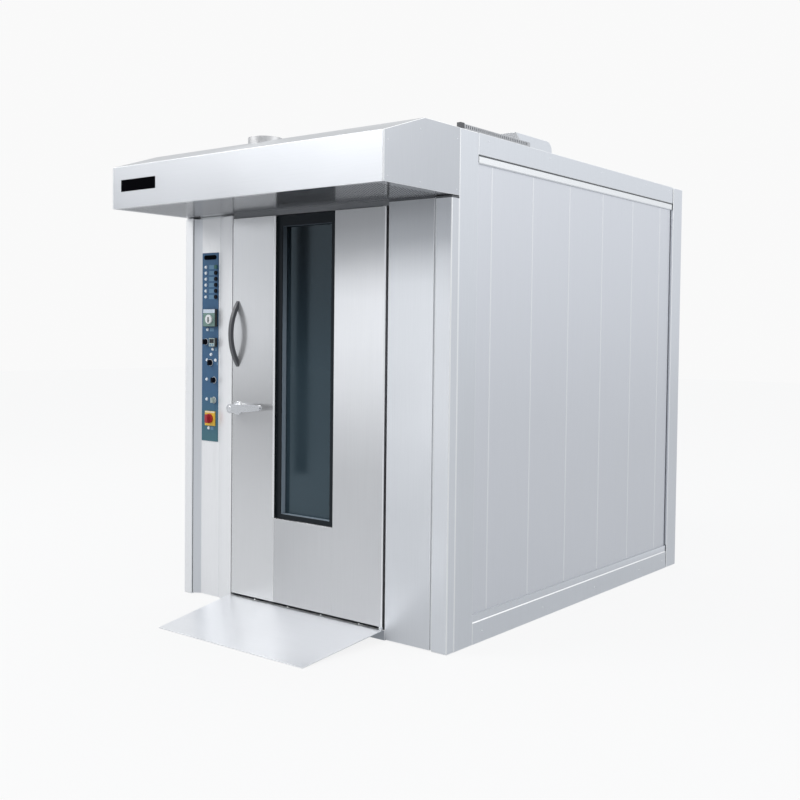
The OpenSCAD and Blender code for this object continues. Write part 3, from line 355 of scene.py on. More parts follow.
def enamel(name, colour, roughness, coat=0.0, mottled=0.12, scale=60, low_colour=None,
           span=(0, 1), specular=0.5):
    """Paint or moulded plastic: a colour with a faint cloud in tone and gloss. With a low
    colour, it turns to that towards the lower end of a span of heights."""
    made = bpy.data.materials.new(name)
    made.use_nodes = True
    tree = made.node_tree
    place = node_setup(tree, "ShaderNodeTexCoord", (-1100, 0)).outputs["Object"]
    cloud = node_setup(tree, "ShaderNodeTexNoise", (-800, 0), {
        "Scale": scale, "Detail": 4, "Vector": place}).outputs["Fac"]
    tone = node_setup(tree, "ShaderNodeMapRange", (-600, 100), {
        "To Min": 1 - mottled, "To Max": 1 + mottled, "Value": cloud})
    paint = node_setup(tree, "ShaderNodeVectorMath", (-300, 100), {
        0: colour, "Scale": tone.outputs["Result"]}, operation="SCALE")
    if low_colour:
        parts = node_setup(tree, "ShaderNodeSeparateXYZ", (-900, 300), {0: place})
        rise = node_setup(tree, "ShaderNodeMapRange", (-700, 300), {
            "From Min": span[0], "From Max": span[1], "Value": parts.outputs["Z"]})
        graded = node_setup(tree, "ShaderNodeMix", (-500, 300), {
            "A": (*low_colour, 1), "B": (*colour, 1), "Factor": rise.outputs["Result"]},
            data_type="RGBA")
        feed(tree, paint, {0: graded.outputs["Result"]})
    gloss = node_setup(tree, "ShaderNodeMapRange", (-500, -150), {
        "To Min": max(0.02, roughness - 0.06), "To Max": roughness + 0.06, "Value": cloud})
    relief = node_setup(tree, "ShaderNodeBump", (-300, -300), {
        "Strength": 0.04, "Distance": 0.0003, "Height": cloud})
    feed(tree, tree.nodes["Principled BSDF"], {
        "Coat Weight": coat, "Specular IOR Level": specular,
        "Base Color": paint.outputs["Vector"], "Roughness": gloss.outputs["Result"],
        "Normal": relief.outputs["Normal"]})
    return made


def both_sides(corners):
    """The same strips on the right and, mirrored, on the left."""
    return corners + [((-high[0], low[1], low[2]), (-low[0], high[1], high[2]))
                      for low, high in corners]


def bar(low, high):
    """Corner points and faces of a straight bar between two corners."""
    points = [(x, y, z) for x in (low[0], high[0]) for y in (low[1], high[1])
              for z in (low[2], high[2])]
    faces = [(0, 1, 3, 2), (4, 6, 7, 5), (0, 4, 5, 1), (2, 3, 7, 6), (0, 2, 6, 4), (1, 5, 7, 3)]
    return points, faces


def bars(name, body, slot, finish, corners, fold=0.4 * MM):
    """Thin strips, each between two corners, with slightly round edges."""
    points, faces = [], []
    for low, high in corners:
        more, sides = bar(low, high)
        faces += [tuple(i + len(points) for i in side) for side in sides]
        points += more
    data = bpy.data.meshes.new(name)
    data.from_pydata(points, [], faces)
    piece = link_piece(name, data, body, slot, finish)
    soften = piece.modifiers.new("fold", "BEVEL")
    soften.width = fold
    soften.segments = 2
    soften.harden_normals = True
    return applied(piece)


shadow_grey = enamel("shadow_grey", (0.10, 0.105, 0.115), 0.5)
rail_face, trim_face, shadow_face = 0.9005, 0.9016, 0.9019
# The trim strip is real; its near-white steel is a painted highlight.
bars("rail_trims", "root", "stainless_bright", painted_glint_steel, both_sides([
    ((rail_face, depth_y(219), 2.264), (trim_face, depth_y(2382), 2.293)),
]))
shadow_start = depth_y(210.4)
bars("rail_shadow_lines", "root", "dark_steel", shadow_grey, both_sides([
    ((rail_face, shadow_start, 2.2934), (shadow_face, depth_y(2383.6), 2.2996)),
    ((rail_face, shadow_start, 2.262), (shadow_face, depth_y(218.6), 2.2933)),
]))
# Thin bright strips down the posts' front edges: painted glints.
post_face, post_glint_face = 0.9050, 0.9062
bars("post_glints", "root", "stainless_bright", painted_glint_steel, both_sides([
    ((post_face, depth_y(53), 0.002), (post_glint_face, depth_y(63), 2.0895)),
]), fold=0.5 * MM)


# ---- Wall cassettes ----
# Insulated cassettes of satin stainless sheet, pushed in side by side between the rails.
# A slim folded bead covers each seam of the side walls.

def finish_node(finish, *nodes):
    """Gives CAD nodes whose shape is right their finish."""
    for node in nodes:
        for holder in frame["nodes"][node].material_slots:
            holder.material = finish


cassette_steel = steel("cassette_steel", (0.79, 0.805, 0.84), 0.36, grain=(300, 300, 5),
                       contrast=0.02, smear=0.03)
finish_node(cassette_steel, "side_wall_panels", "rear_wall_panels")
bead_steel = steel("bead_steel", (0.90, 0.91, 0.93), 0.42, contrast=0.02)
cassette_pitch, first_seam, seams = 377, 345, 6
bead_back, bead_face, bead_half = 0.8885, 0.8931, 5
bead_foot, bead_head = 0.1435, 2.2590
bars("seam_beads", "root", "stainless_bright", bead_steel, both_sides([
    ((bead_back, depth_y(first_seam + i * cassette_pitch - bead_half), bead_foot),
     (bead_face, depth_y(first_seam + i * cassette_pitch + bead_half), bead_head))
    for i in range(seams)
]), fold=1.4 * MM)


# ---- Roof ----
# Decks of galvanised sheet laid between the rails, with a low folded rib over two of their
# joints. The zinc shows a faint, broad spangle.

def zinc(name):
    """Hot-dipped sheet: dull steel with small crystals of slightly different greys."""
    made = steel(name, (0.66, 0.68, 0.70), 0.42, grain=(2, 2, 2), contrast=0.05)
    tree = made.node_tree
    place = tree.nodes["Texture Coordinate"].outputs["Object"]
    spangle = node_setup(tree, "ShaderNodeTexVoronoi", (-700, 400), {
        "Scale": 55, "Vector": place})
    shade = node_setup(tree, "ShaderNodeMapRange", (-500, 400), {
        "To Min": 0.55, "To Max": 0.72, "Value": spangle.outputs["Color"]}).outputs["Result"]
    blend = node_setup(tree, "ShaderNodeCombineColor", (-300, 400), {
        "Red": shade, "Green": shade, "Blue": shade})
    feed(tree, tree.nodes["Principled BSDF"], {"Base Color": blend.outputs["Color"]})
    return made


galvanised = zinc("galvanised")
finish_node(galvanised, "roof_panels")
deck_low, deck_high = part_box("roof_panels")
deck_l = (deck_high.y - deck_low.y) / 4
rib_inset, rib_half, rib_h = 4 * MM, 14 * MM, 4 * MM
bars("deck_ribs", "root", "galvanised", galvanised, [
    ((deck_low.x + rib_inset, deck_low.y + i * deck_l - rib_half, deck_high.z - 0.5 * MM),
     (deck_high.x - rib_inset, deck_low.y + i * deck_l + rib_half, deck_high.z + rib_h))
    for i in (1, 3)
], fold=1.5 * MM)


# ---- Corner columns and right front panel ----
# A folded column stands at each front corner. The smooth panel beside the door hangs on
# the frame, with its lower left corner rounded; its steel carries painted shade, darkest at the
# top under the hood and a little towards its foot. A pale strip in the groove beside the column
# is painted light in the groove's shade.

front_steel = steel("front_steel", (0.785, 0.805, 0.835), 0.36, grain=(380, 380, 4),
                    contrast=0.03, stretch=0.8)
columns = folded("corner_columns", "stainless", front_steel, fold=5 * MM, segments=4,
                 edge=painted_glint_steel)
# Painted shade by height: darker at the top under the hood and a little at the foot.
panel_steel = steel("panel_steel", (0.83, 0.85, 0.88), 0.36, grain=(380, 380, 4), contrast=0.03,
                    stretch=0.8, painted_light_levels=((0.30, 0.86), (1.00, 0.98), (1.70, 0.98), (1.85, 0.82),
                                         (1.98, 0.75), (2.08, 0.62)))
folded("right_front_panel", "panel", panel_steel, fold=4 * MM, segments=4, edge=painted_glint_steel)
panel_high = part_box("right_front_panel")[1]
painted_light_grey = enamel("painted_light_grey", (0.72, 0.74, 0.76), 0.5)
# A pale strip in the groove beside the column: painted light in the groove's shade.
bars("groove_light_fill", "root", "dark_steel", painted_light_grey, [
    ((panel_high.x + 0.3 * MM, depth_y(5), 0.005), (panel_high.x + 7.7 * MM, depth_y(8), 2.088)),
])
# Dark strips in the gaps under the hood's brow: painted shadow.
bars("brow_shadow_strip", "root", "dark_steel", shadow_grey, [
    ((0.8165, depth_y(-0.3), 2.0800), (0.9062, depth_y(57), 2.0896)),
    ((0.5435, depth_y(-0.3), 2.0836), (0.8075, depth_y(8), 2.0926)),
])


# ---- Control column and jamb ----
# The controls sit back in a shallow bay. A slanting wall leads into it, and a curved jamb
# sheet leads out of it to the door. The jamb, the bay's front faces and the left column's faces
# take a brighter, half-matt steel: a painted highlight for the light they catch.

bay = folded("control_column", "stainless", casing_steel, fold=1.5 * MM, edge=painted_glint_steel)
# A brighter, half-matt copy of the steel: painted highlight on the jamb, bay front and left
# column.
painted_highlight_steel = steel("painted_highlight_steel", (0.95, 0.955, 0.965), 0.42, grain=(380, 380, 4),
                   contrast=0.03, stretch=0.4, metallic=0.5)
pick_out(bay, painted_highlight_steel, lambda side: side.normal.y < -0.9 and side.material_index == 0)
pick_out(columns, painted_highlight_steel, lambda side: side.center.x < 0 and side.material_index == 0)
folded("latch_jamb", "stainless_bright", painted_highlight_steel, fold=1 * MM)
column_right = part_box("corner_columns")[0].x + 60 * MM
bars("column_joint", "root", "dark_steel", shadow_grey, [
    ((column_right + 0.2 * MM, depth_y(5.2), 0.006), (column_right + 3 * MM, depth_y(6.6), 2.082)),
])
# A pale strip in the gap under the hood over the bay: painted light in its shade.
bars("bay_gap_light_fill", "root", "dark_steel", painted_light_grey, [
    ((-0.8200, depth_y(32.5), 2.0832), (-0.5400, depth_y(56), 2.0922)),
])


# ---- Door surround ----
# The beam over the door is enamelled dark, and the frame behind it is of galvanised sheet.
# The threshold is a folded steel sill, held by four domed screws, with a plain ramp down to
# the floor. Smaller screws of the same kind hold the sheets at the sides.

dark_enamel = enamel("dark_enamel", (0.200, 0.207, 0.220), 0.42)
folded("header_beam", "dark_steel", dark_enamel, fold=1 * MM)
finish_node(galvanised, "door_frame")
# A dark steel for the sill: painted shade under the foot of the door.
sill_shaded_steel = steel("sill_shaded_steel", (0.50, 0.52, 0.55), 0.34, grain=(7, 420, 420))
folded("threshold", "stainless", sill_shaded_steel, fold=1.5 * MM, edge=painted_glint_steel)
ramp_steel = steel("ramp_steel", (0.86, 0.875, 0.90), 0.30, grain=(5, 360, 360))
folded("ramp", "panel", ramp_steel, fold=0.8 * MM, edge=painted_glint_steel)


def repeat_tree(name, finish, sizes, make):
    """A node tree that sets one small shape on every point. The shape comes from make,
    and sizes names its inputs with their usual values."""
    tree = bpy.data.node_groups.new(name, "GeometryNodeTree")
    face = tree.interface
    face.new_socket("Points", in_out="INPUT", socket_type="NodeSocketGeometry")
    for label, size in sizes:
        socket = face.new_socket(label, in_out="INPUT", socket_type="NodeSocketFloat")
        socket.default_value = size
    face.new_socket("Turn", in_out="INPUT", socket_type="NodeSocketVector")
    face.new_socket("Shapes", in_out="OUTPUT", socket_type="NodeSocketGeometry")
    inlet = node_setup(tree, "NodeGroupInput", (-900, 0))
    set_on = node_setup(tree, "GeometryNodeInstanceOnPoints", (-200, 0), {
        "Points": inlet.outputs["Points"], "Instance": make(tree, inlet.outputs),
        "Rotation": inlet.outputs["Turn"]})
    real = node_setup(tree, "GeometryNodeRealizeInstances", (0, 0), {
        "Geometry": set_on.outputs["Instances"]})
    paint = node_setup(tree, "GeometryNodeSetMaterial", (200, 0), {
        "Material": finish, "Geometry": real.outputs["Geometry"]})
    node_setup(tree, "NodeGroupOutput", (400, 0), {"Shapes": paint.outputs["Geometry"]})
    return tree


def screw_head(tree, sizes):
    """A low domed head: a ring of flats that narrows to a flat crown."""
    crown = node_setup(tree, "ShaderNodeMath", (-700, -200), {
        0: sizes["Head Radius"], 1: 0.7}, operation="MULTIPLY")
    head = node_setup(tree, "GeometryNodeMeshCone", (-500, 0), {
        "Vertices": 20, "Radius Bottom": sizes["Head Radius"], "Radius Top": crown.outputs[0],
        "Depth": sizes["Head Height"]})
    return head.outputs["Mesh"]


def grown(name, tree, points, body, slot, **sizes):
    """Points turned into a plain mesh by a node tree whose inputs are set by name."""
    data = bpy.data.meshes.new(name)
    data.from_pydata(points, [], [])
    piece = bpy.data.objects.new(name, data)
    bpy.context.collection.objects.link(piece)
    grow = piece.modifiers.new("grow", "NODES")
    grow.node_group = tree
    sockets = {item.name: item.identifier for item in tree.interface.items_tree
               if item.in_out == "INPUT"}
    for label, size in sizes.items():
        grow[sockets[label.replace("_", " ")]] = size
    applied(piece)
    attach(piece, body)
    return piece


FACING_FRONT = (math.radians(90), 0, 0)
FACING_RIGHT = (0, math.radians(90), 0)
FACING_LEFT = (0, math.radians(-90), 0)
FACING_BACK = (math.radians(-90), 0, 0)
bright_steel = steel("bright_steel", (0.93, 0.945, 0.96), 0.16, contrast=0.02, bump=0.02)
screws = repeat_tree("screws", bright_steel,
                     (("Head Radius", 4 * MM), ("Head Height", 1.6 * MM)), screw_head)
sill_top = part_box("threshold")[1].z
grown("threshold_screws", screws,
      [(x, depth_y(9), sill_top) for x in (-0.345, -0.105, 0.127, 0.379)],
      "root", "stainless_bright", Head_Radius=7 * MM, Head_Height=2 * MM)
side_x, screw_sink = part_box("corner_posts")[1].x, 0.4 * MM
grown("side_rail_screws", screws,
      [(side_x - screw_sink, depth_y(d), z)
       for z in (0.052, 2.372) for d in (290, 860, 1430, 2000, 2330)],
      "root", "stainless_bright", Turn=FACING_RIGHT)


# ---- Door ----
# Two tall folded stiles and a lower panel of bright satin stainless carry the window
# between them. Their steel is painted darker at the top for the hood's shade, brightest in the
# middle as a painted highlight, and darker lower down. A liner closes the back, with mineral
# wool inside and a black seal round it.

# Painted shade and highlight by height: dark under the hood, bright in the middle, darker below.
door_steel = steel("door_steel", (0.955, 0.965, 0.985), 0.36, grain=(380, 380, 4),
                   contrast=0.035, stretch=0.8, metallic=0.85,
                   painted_light_levels=((0.10, 0.64), (0.50, 0.68), (0.80, 0.68), (1.00, 0.78), (1.20, 0.91),
                           (1.40, 0.98), (1.62, 1.00), (1.72, 0.92), (1.82, 0.77), (1.98, 0.62)))
# A lighter copy of the door steel for the left stile: painted light at its top, with painted shade
# and the handle's painted reflection at the handle's height.
painted_light_stile_steel = steel("painted_light_stile_steel", (0.985, 0.99, 1.0), 0.20, grain=(380, 380, 4),
                         contrast=0.03, smear=0.03, metallic=0.72,
                         painted_light_levels=((0.10, 0.88), (0.90, 0.70), (1.10, 0.66), (1.28, 0.84),
                                 (1.46, 0.98), (1.60, 1.00), (1.75, 0.98), (2.00, 1.00)))
stiles = folded("door_stiles", "panel", door_steel, fold=2.6 * MM, segments=3, edge=painted_glint_steel)
pick_out(stiles, painted_light_stile_steel, lambda side: side.center.x < 0 and side.material_index == 0)
folded("door_lower_panel", "panel", door_steel, fold=2.6 * MM, segments=3)
folded("door_liner", "stainless", casing_steel, fold=0.8 * MM)
wool = enamel("mineral_wool", (0.55, 0.46, 0.22), 0.9, mottled=0.3, scale=200)
finish_node(wool, "door_insulation")
seal_rubber = enamel("seal_rubber", (0.025, 0.025, 0.027), 0.55)
folded("door_gasket", "seal_rubber", seal_rubber, fold=3 * MM, segments=3)
stile_low, stile_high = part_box("door_stiles")
strip_front, strip_back, strip_end = depth_y(-0.4), depth_y(0.5), 3 * MM
# A bright strip along the right stile's edge: a painted glint.
bars("door_edge_glint", "door", "stainless_bright", painted_glint_steel, [
    ((stile_high.x - 9 * MM, strip_front, stile_low.z + strip_end),
     (stile_high.x - 1 * MM, strip_back, stile_high.z - strip_end)),
], fold=0.3 * MM)


# ---- Window ----
# Two toughened panes sit one behind the other in a black enamelled frame, behind a grey
# spacer strip. They are tinted blue-green, and panes and spacer are painted darker towards
# the top: painted shade under the hood. A bright strip on the sheet at the latch side is a
# painted glint.

frame_enamel = enamel("window_frame_enamel", (0.009, 0.013, 0.017), 0.45, specular=0.2)
folded("window_frame", "window_black", frame_enamel, fold=1.2 * MM)
window_low, window_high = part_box("window_frame")
rim_side, rim_foot, rim_head = 34 * MM, 25 * MM, 54 * MM
glass_left, glass_right = window_low.x + rim_side, window_high.x - rim_side
glass_foot, glass_head = window_low.z + rim_foot, window_high.z - rim_head
# Darker towards the top: painted shade under the hood.
spacer_grey = enamel("spacer_grey", (0.08, 0.10, 0.12), 0.5, low_colour=(0.30, 0.36, 0.42),
                     span=(1.45, 2.00), specular=0.3)
spacer_t, spacer_front, spacer_back = 1.5 * MM, depth_y(19), depth_y(46.6)
bars("spacer_strips", "door", "window_black", spacer_grey, [
    ((glass_left, spacer_front, glass_foot), (glass_left + spacer_t, spacer_back, glass_head)),
    ((glass_right - spacer_t, spacer_front, glass_foot), (glass_right, spacer_back, glass_head)),
    ((glass_left + spacer_t, spacer_front, glass_foot),
     (glass_right - spacer_t, spacer_back, glass_foot + spacer_t)),
    ((glass_left + spacer_t, spacer_front, glass_head - spacer_t),
     (glass_right - spacer_t, spacer_back, glass_head)),
])
# A bright strip on the stile beside the window: a painted glint.
latch_side, glint_w, glint_inset = window_low.x, 13 * MM, 4 * MM
glint_right = latch_side - 0.5 * MM
glint_foot, glint_head = window_low.z + glint_inset, window_high.z - glint_inset
bars("window_glint", "door", "stainless_bright", painted_glint_steel, [
    ((latch_side - glint_w, strip_front, glint_foot), (glint_right, strip_back, glint_head)),
], fold=0.3 * MM)
bars("reveal_lining", "door", "window_black", frame_enamel, [
    ((glint_right, depth_y(1), glint_foot), (latch_side + 0.8 * MM, depth_y(13.5), glint_head)),
], fold=0.2 * MM)


def tinted_glass(name, tint, painted_shade_tint, roughness, span):
    """Dark toughened glass that mirrors the room and lets a little through. Its tint goes
    from the tint below to the darker painted shade tint above, between two heights."""
    made = enamel(name, painted_shade_tint, roughness, mottled=0.08, scale=1.6, low_colour=tint, span=span)
    tree = made.node_tree
    feed(tree, tree.nodes["Principled BSDF"], {
        "IOR": 1.52, "Specular IOR Level": 0.95, "Specular Tint": (0.68, 0.88, 1.0, 1),
        "Alpha": 0.80})
    feed(tree, tree.nodes["Bump"], {"Strength": 0.01})
    return made


# Darker towards the top: painted shade under the hood.
pane_tint = tinted_glass("pane_tint", (0.028, 0.048, 0.062), (0.0015, 0.0025, 0.004), 0.03,
                         (1.30, 2.00))
folded("window_panes", "glass", pane_tint, fold=0.8 * MM)


def studio_flag(place, width, height, turn):
    """A narrow black card far in front, which only the metal and the glass see."""
    data = bpy.data.meshes.new("flag")
    half = width / 2
    data.from_pydata([(-half, 0, 0), (half, 0, 0), (half, 0, height), (-half, 0, height)], [],
                     [(0, 1, 2, 3)])
    card = bpy.data.objects.new("flag", data)
    data.transform(Matrix.Translation(place) @ Matrix.Rotation(math.radians(turn), 4, "Z"))
    bpy.context.collection.objects.link(card)
    data.materials.append(shadow_black)
    for ray in ("camera", "diffuse", "shadow", "transmission"):
        setattr(card, "visible_" + ray, False)


shadow_black = enamel("shadow_black", (0.02, 0.021, 0.024), 0.5)
studio_flag((-3.755, -5.115, 0.02), width=0.128, height=4.5, turn=-43)


# ---- Bow handle ----
# A bow of satin grey enamel that stands off the left stile on its two flat feet. Its flanks
# are given a darker copy of the enamel than its face: painted shade.

grip_enamel = enamel("grip_enamel", (0.105, 0.108, 0.118), 0.42, coat=0.1)
# A darker copy of the grip enamel on the side faces: painted shade.
grip_flank_shade = enamel("grip_flank_shade", (0.060, 0.063, 0.070), 0.42)
grip = folded("bow_handle", "handle_grey", grip_enamel, fold=3.2 * MM, segments=4)
pick_out(grip, grip_flank_shade, lambda side: abs(side.normal.x) > 0.55)


# ---- Latch ----
# A satin chrome lever turns on a round rose and throws a flat steel bolt into the keeper.
# The lever is cast, with soft edges, and carries a cap over its spindle.

satin_chrome = steel("satin_chrome", (0.86, 0.87, 0.89), 0.22, grain=(90, 90, 90),
                     contrast=0.02, smear=0.03, bump=0.02)
folded("latch_rose", "chrome", satin_chrome, fold=1.6 * MM, segments=3)
folded("latch_lever", "chrome", satin_chrome, fold=3.4 * MM, segments=4)
folded("latch_bolt", "stainless_bright", bright_steel, fold=0.8 * MM)
folded("latch_keeper", "stainless_bright", bright_steel, fold=0.8 * MM)
finish_node(bright_steel, "hinge_pivots")


def turned(name, body, slot, finish, profile, place, turn, sides=40):
    """A turned piece: a profile of (radius, height) spun round its axis, then set in place."""
    mesh = bmesh.new()
    rings = [[mesh.verts.new((radius * math.cos(2 * math.pi * i / sides),
                              radius * math.sin(2 * math.pi * i / sides), height))
              for i in range(sides)] for radius, height in profile]
    for lower, upper in zip(rings, rings[1:]):
        for i in range(sides):
            mesh.faces.new((lower[i], lower[(i + 1) % sides], upper[(i + 1) % sides], upper[i]))
    mesh.faces.new(rings[-1])
    mesh.faces.new(list(reversed(rings[0])))
    data = bpy.data.meshes.new(name)
    mesh.to_mesh(data)
    mesh.free()
    data.transform(Matrix.Translation(place) @ Euler(turn).to_matrix().to_4x4())
    smoothed(data, 30)
    return link_piece(name, data, body, slot, finish)


spindle_x, spindle_z = -0.480, 1.058
lever_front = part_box("latch_lever")[0].y
turned("lever_cap", "latch_lever", "chrome", bright_steel,
       [(14 * MM, 0), (14 * MM, 0.6 * MM), (12.6 * MM, 1.6 * MM), (7 * MM, 2.4 * MM)],
       (spindle_x, lever_front + 0.4 * MM, spindle_z), FACING_FRONT)
rose_screw_x = 0.0295
grown("rose_screws", screws,
      [(spindle_x + s * rose_screw_x, depth_y(-6), spindle_z) for s in (-1, 1)],
      "door", "chrome", Turn=FACING_FRONT, Head_Radius=3.4 * MM, Head_Height=1.2 * MM)


# ---- Hood ----
# A folded stainless canopy over the door, with flat cheeks at its ends and a plain black plate
# on its front. A shiny perforated sheet closes it below, a round duct collar stands on top of
# it and one on the roof, and a fan hangs inside.

hood_steel = steel("hood_steel", (0.655, 0.67, 0.695), 0.34, grain=(4, 360, 360), contrast=0.03,
                   stretch=0.7)
hood = folded("hood_shell", "stainless", hood_steel, fold=5 * MM, segments=4, edge=painted_glint_steel)
# A darker copy of the hood steel on its upward faces: painted shade.
hood_top_shaded_steel = steel("hood_top_shaded_steel", (0.54, 0.555, 0.575), 0.34, grain=(4, 360, 360),
                       contrast=0.03, stretch=0.7)
pick_out(hood, hood_top_shaded_steel, lambda side: side.normal.z > 0.3)
cheek_steel = steel("cheek_steel", (0.645, 0.66, 0.685), 0.30)
folded("hood_cheeks", "stainless", cheek_steel, fold=2.4 * MM, edge=painted_glint_steel)
folded("duct_collars", "galvanised", galvanised, fold=1 * MM)
finish_node(galvanised, "hood_fan")
grille_steel = steel("grille_steel", (0.565, 0.575, 0.60), 0.17, grain=(300, 9, 9), contrast=0.12,
                     bump=0.10, metallic=0.82)
finish_node(grille_steel, "hood_grille")


def round_hole(tree, sizes):
    """A dark disc, for a hole punched in a sheet."""
    disc = node_setup(tree, "GeometryNodeMeshCircle", (-500, 0), {
        "Vertices": 8, "Radius": sizes["Hole Radius"]}, fill_type="NGON")
    return disc.outputs["Mesh"]


punched = repeat_tree("punched_holes", shadow_grey, (("Hole Radius", 4.5 * MM),), round_hole)
grille_low, grille_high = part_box("hood_grille")
hole_pitch, hole_margin = 15 * MM, 30 * MM
hole_rows = int((grille_high.y - grille_low.y - 2 * hole_margin) / hole_pitch)
hole_columns = int((grille_high.x - grille_low.x - 2 * hole_margin) / hole_pitch)
grown("grille_holes", punched,
      [(grille_low.x + hole_margin + (i + 0.5 * (j % 2)) * hole_pitch,
        grille_low.y + hole_margin + j * hole_pitch, grille_low.z - 0.3 * MM)
       for i in range(hole_columns) for j in range(hole_rows)],
      "root", "dark_steel", Turn=(math.radians(180), 0, 0))

hood_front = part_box("hood_shell")[0].y
plate_black = enamel("plate_black", (0.003, 0.003, 0.004), 0.6, specular=0.0)
bars("fascia_plate", "root", "black_plastic", plate_black, [
    ((-0.835, hood_front - 0.8 * MM, 2.177), (-0.563, hood_front + 0.5 * MM, 2.237)),
])
grown("cheek_screws", screws,
      [(side_x - screw_sink, depth_y(d), z)
       for d, z in ((-462, 2.118), (-462, 2.268), (-240, 2.118), (-240, 2.345), (34, 2.118),
                    (34, 2.345))],
      "root", "stainless_bright", Turn=FACING_RIGHT, Head_Radius=3.5 * MM)
exhaust_place, flue_place = (-0.191, depth_y(-90)), (-0.394, depth_y(2200))
flange_top, screw_ring = 2.4029, 1.11 * 88 * MM
grown("collar_screws", screws,
      [(x + screw_ring * math.cos(math.radians(a)), y + screw_ring * math.sin(math.radians(a)),
        flange_top) for x, y in (exhaust_place, flue_place) for a in range(15, 375, 60)],
      "root", "galvanised", Head_Radius=3.2 * MM, Head_Height=1.4 * MM)


# ---- Control strip ----
# A foil-covered aluminium strip carries the buttons, lamps, instruments and switches. Paler
# blank fields are printed on it, between each button and its lamp and beside single lamps.

strip_low, strip_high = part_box("control_strip")
strip_x = (strip_low.x + strip_high.x) / 2
strip_y = depth_y(30)
strip_foil = enamel("strip_foil", (0.051, 0.125, 0.235), 0.36, mottled=0.05, specular=0.3,
                    low_colour=(0.060, 0.158, 0.195), span=(0.88, 1.15))
folded("control_strip", "strip_blue", strip_foil, fold=0.5 * MM)
display_black = enamel("display_black", (0.003, 0.004, 0.006), 0.5, specular=0.0)
folded("panel_display", "black_plastic", display_black, fold=0.8 * MM)
field_print = enamel("field_print", (0.13, 0.25, 0.38), 0.4, mottled=0.04, specular=0.3)
row_pitch, top_row = 32.7 * MM, 1.818
field_front, field_back = strip_y - 0.25 * MM, strip_y + 0.1 * MM
bars("button_fields", "root", "strip_blue", field_print, [
    ((strip_x - 10 * MM, field_front, top_row - i * row_pitch - 11 * MM),
     (strip_x + 29 * MM, field_back, top_row - i * row_pitch + 11 * MM)) for i in range(6)
] + [
    ((strip_x + x * MM, field_front, z - 9 * MM), (strip_x + (x + w) * MM, field_back, z + 9 * MM))
    for x, z, w in ((-3, 1.475, 34), (39, 1.368, 16), (56, 1.290, 8), (9, 0.933, 22))
], fold=0.1 * MM)
button_black = enamel("button_black", (0.006, 0.007, 0.012), 0.5, specular=0.1)
button_green = enamel("button_green", (0.035, 0.13, 0.11), 0.35)
for number in range(1, 7):
    folded("button_%d" % number, "green_plastic" if number == 1 else "black_plastic",
           button_green if number == 1 else button_black, fold=1.5 * MM, segments=3)
lamp_white = enamel("lamp_white", (0.80, 0.86, 0.92), 0.25, coat=0.4)
folded("indicator_lamps", "white_plastic", lamp_white, fold=1.2 * MM, segments=3)


# ---- Temperature controller ----
# A black cased instrument with a grey-green face under a pale band. Its white dial has a
# raised dark grip bar, and scale marks stand round it.

case_black = enamel("case_black", (0.014, 0.016, 0.020), 0.38)
folded("temperature_controller", "green_plastic", case_black, fold=1.2 * MM)
controller_low, controller_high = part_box("temperature_controller")
face_green = enamel("face_green", (0.17, 0.28, 0.25), 0.38)
face_y, case_rim, band_h = controller_low.y, 1.5 * MM, 22 * MM
face_left, face_right = controller_low.x + case_rim, controller_high.x - case_rim
bars("controller_face", "root", "green_plastic", face_green, [
    ((face_left, face_y - 0.25 * MM, controller_low.z + case_rim),
     (face_right, face_y + 0.5 * MM, controller_high.z - 23 * MM)),
], fold=0.1 * MM)
band_white = enamel("band_white", (0.62, 0.70, 0.80), 0.32)
bars("controller_band", "root", "white_plastic", band_white, [
    ((face_left, face_y - 0.25 * MM, controller_high.z - band_h),
     (face_right, face_y + 0.5 * MM, controller_high.z - case_rim)),
], fold=0.1 * MM)
dial_white = enamel("dial_white", (0.80, 0.82, 0.83), 0.35)
folded("temperature_dial", "white_plastic", dial_white, fold=2.4 * MM, segments=3)
dial_low, dial_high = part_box("temperature_dial")
dial_x, dial_z = (dial_low.x + dial_high.x) / 2, (dial_low.z + dial_high.z) / 2
dial_grey = enamel("dial_grey", (0.10, 0.115, 0.11), 0.4)
bars("dial_grip", "temperature_dial", "white_plastic", dial_grey, [
    ((dial_x - 3 * MM, dial_low.y - 3 * MM, dial_z - 18 * MM),
     (dial_x + 6 * MM, dial_low.y + 1 * MM, dial_z + 12 * MM)),
], fold=1.5 * MM)


def scale_mark(tree, sizes):
    """One short line of a scale, printed raised."""
    extent = node_setup(tree, "ShaderNodeCombineXYZ", (-700, 0), {
        "X": sizes["Mark Width"], "Y": sizes["Mark Depth"], "Z": sizes["Mark Length"]})
    mark = node_setup(tree, "GeometryNodeMeshCube", (-500, 0), {"Size": extent.outputs[0]})
    return mark.outputs["Mesh"]


marks = repeat_tree("scale_marks", dial_white,
                    (("Mark Width", 1.6 * MM), ("Mark Depth", 0.5 * MM),
                     ("Mark Length", 1.6 * MM)), scale_mark)
scale_r = 30 * MM
grown("dial_scale", marks,
      [(dial_x + scale_r * math.sin(math.radians(a)), face_y - 0.3 * MM,
        dial_z + scale_r * math.cos(math.radians(a))) for a in range(-135, 136, 27)],
      "root", "white_plastic")


# ---- Cycle timer ----
# A small plug-in instrument: a black case with a silver face, a dark window in it and two
# keys under the window.

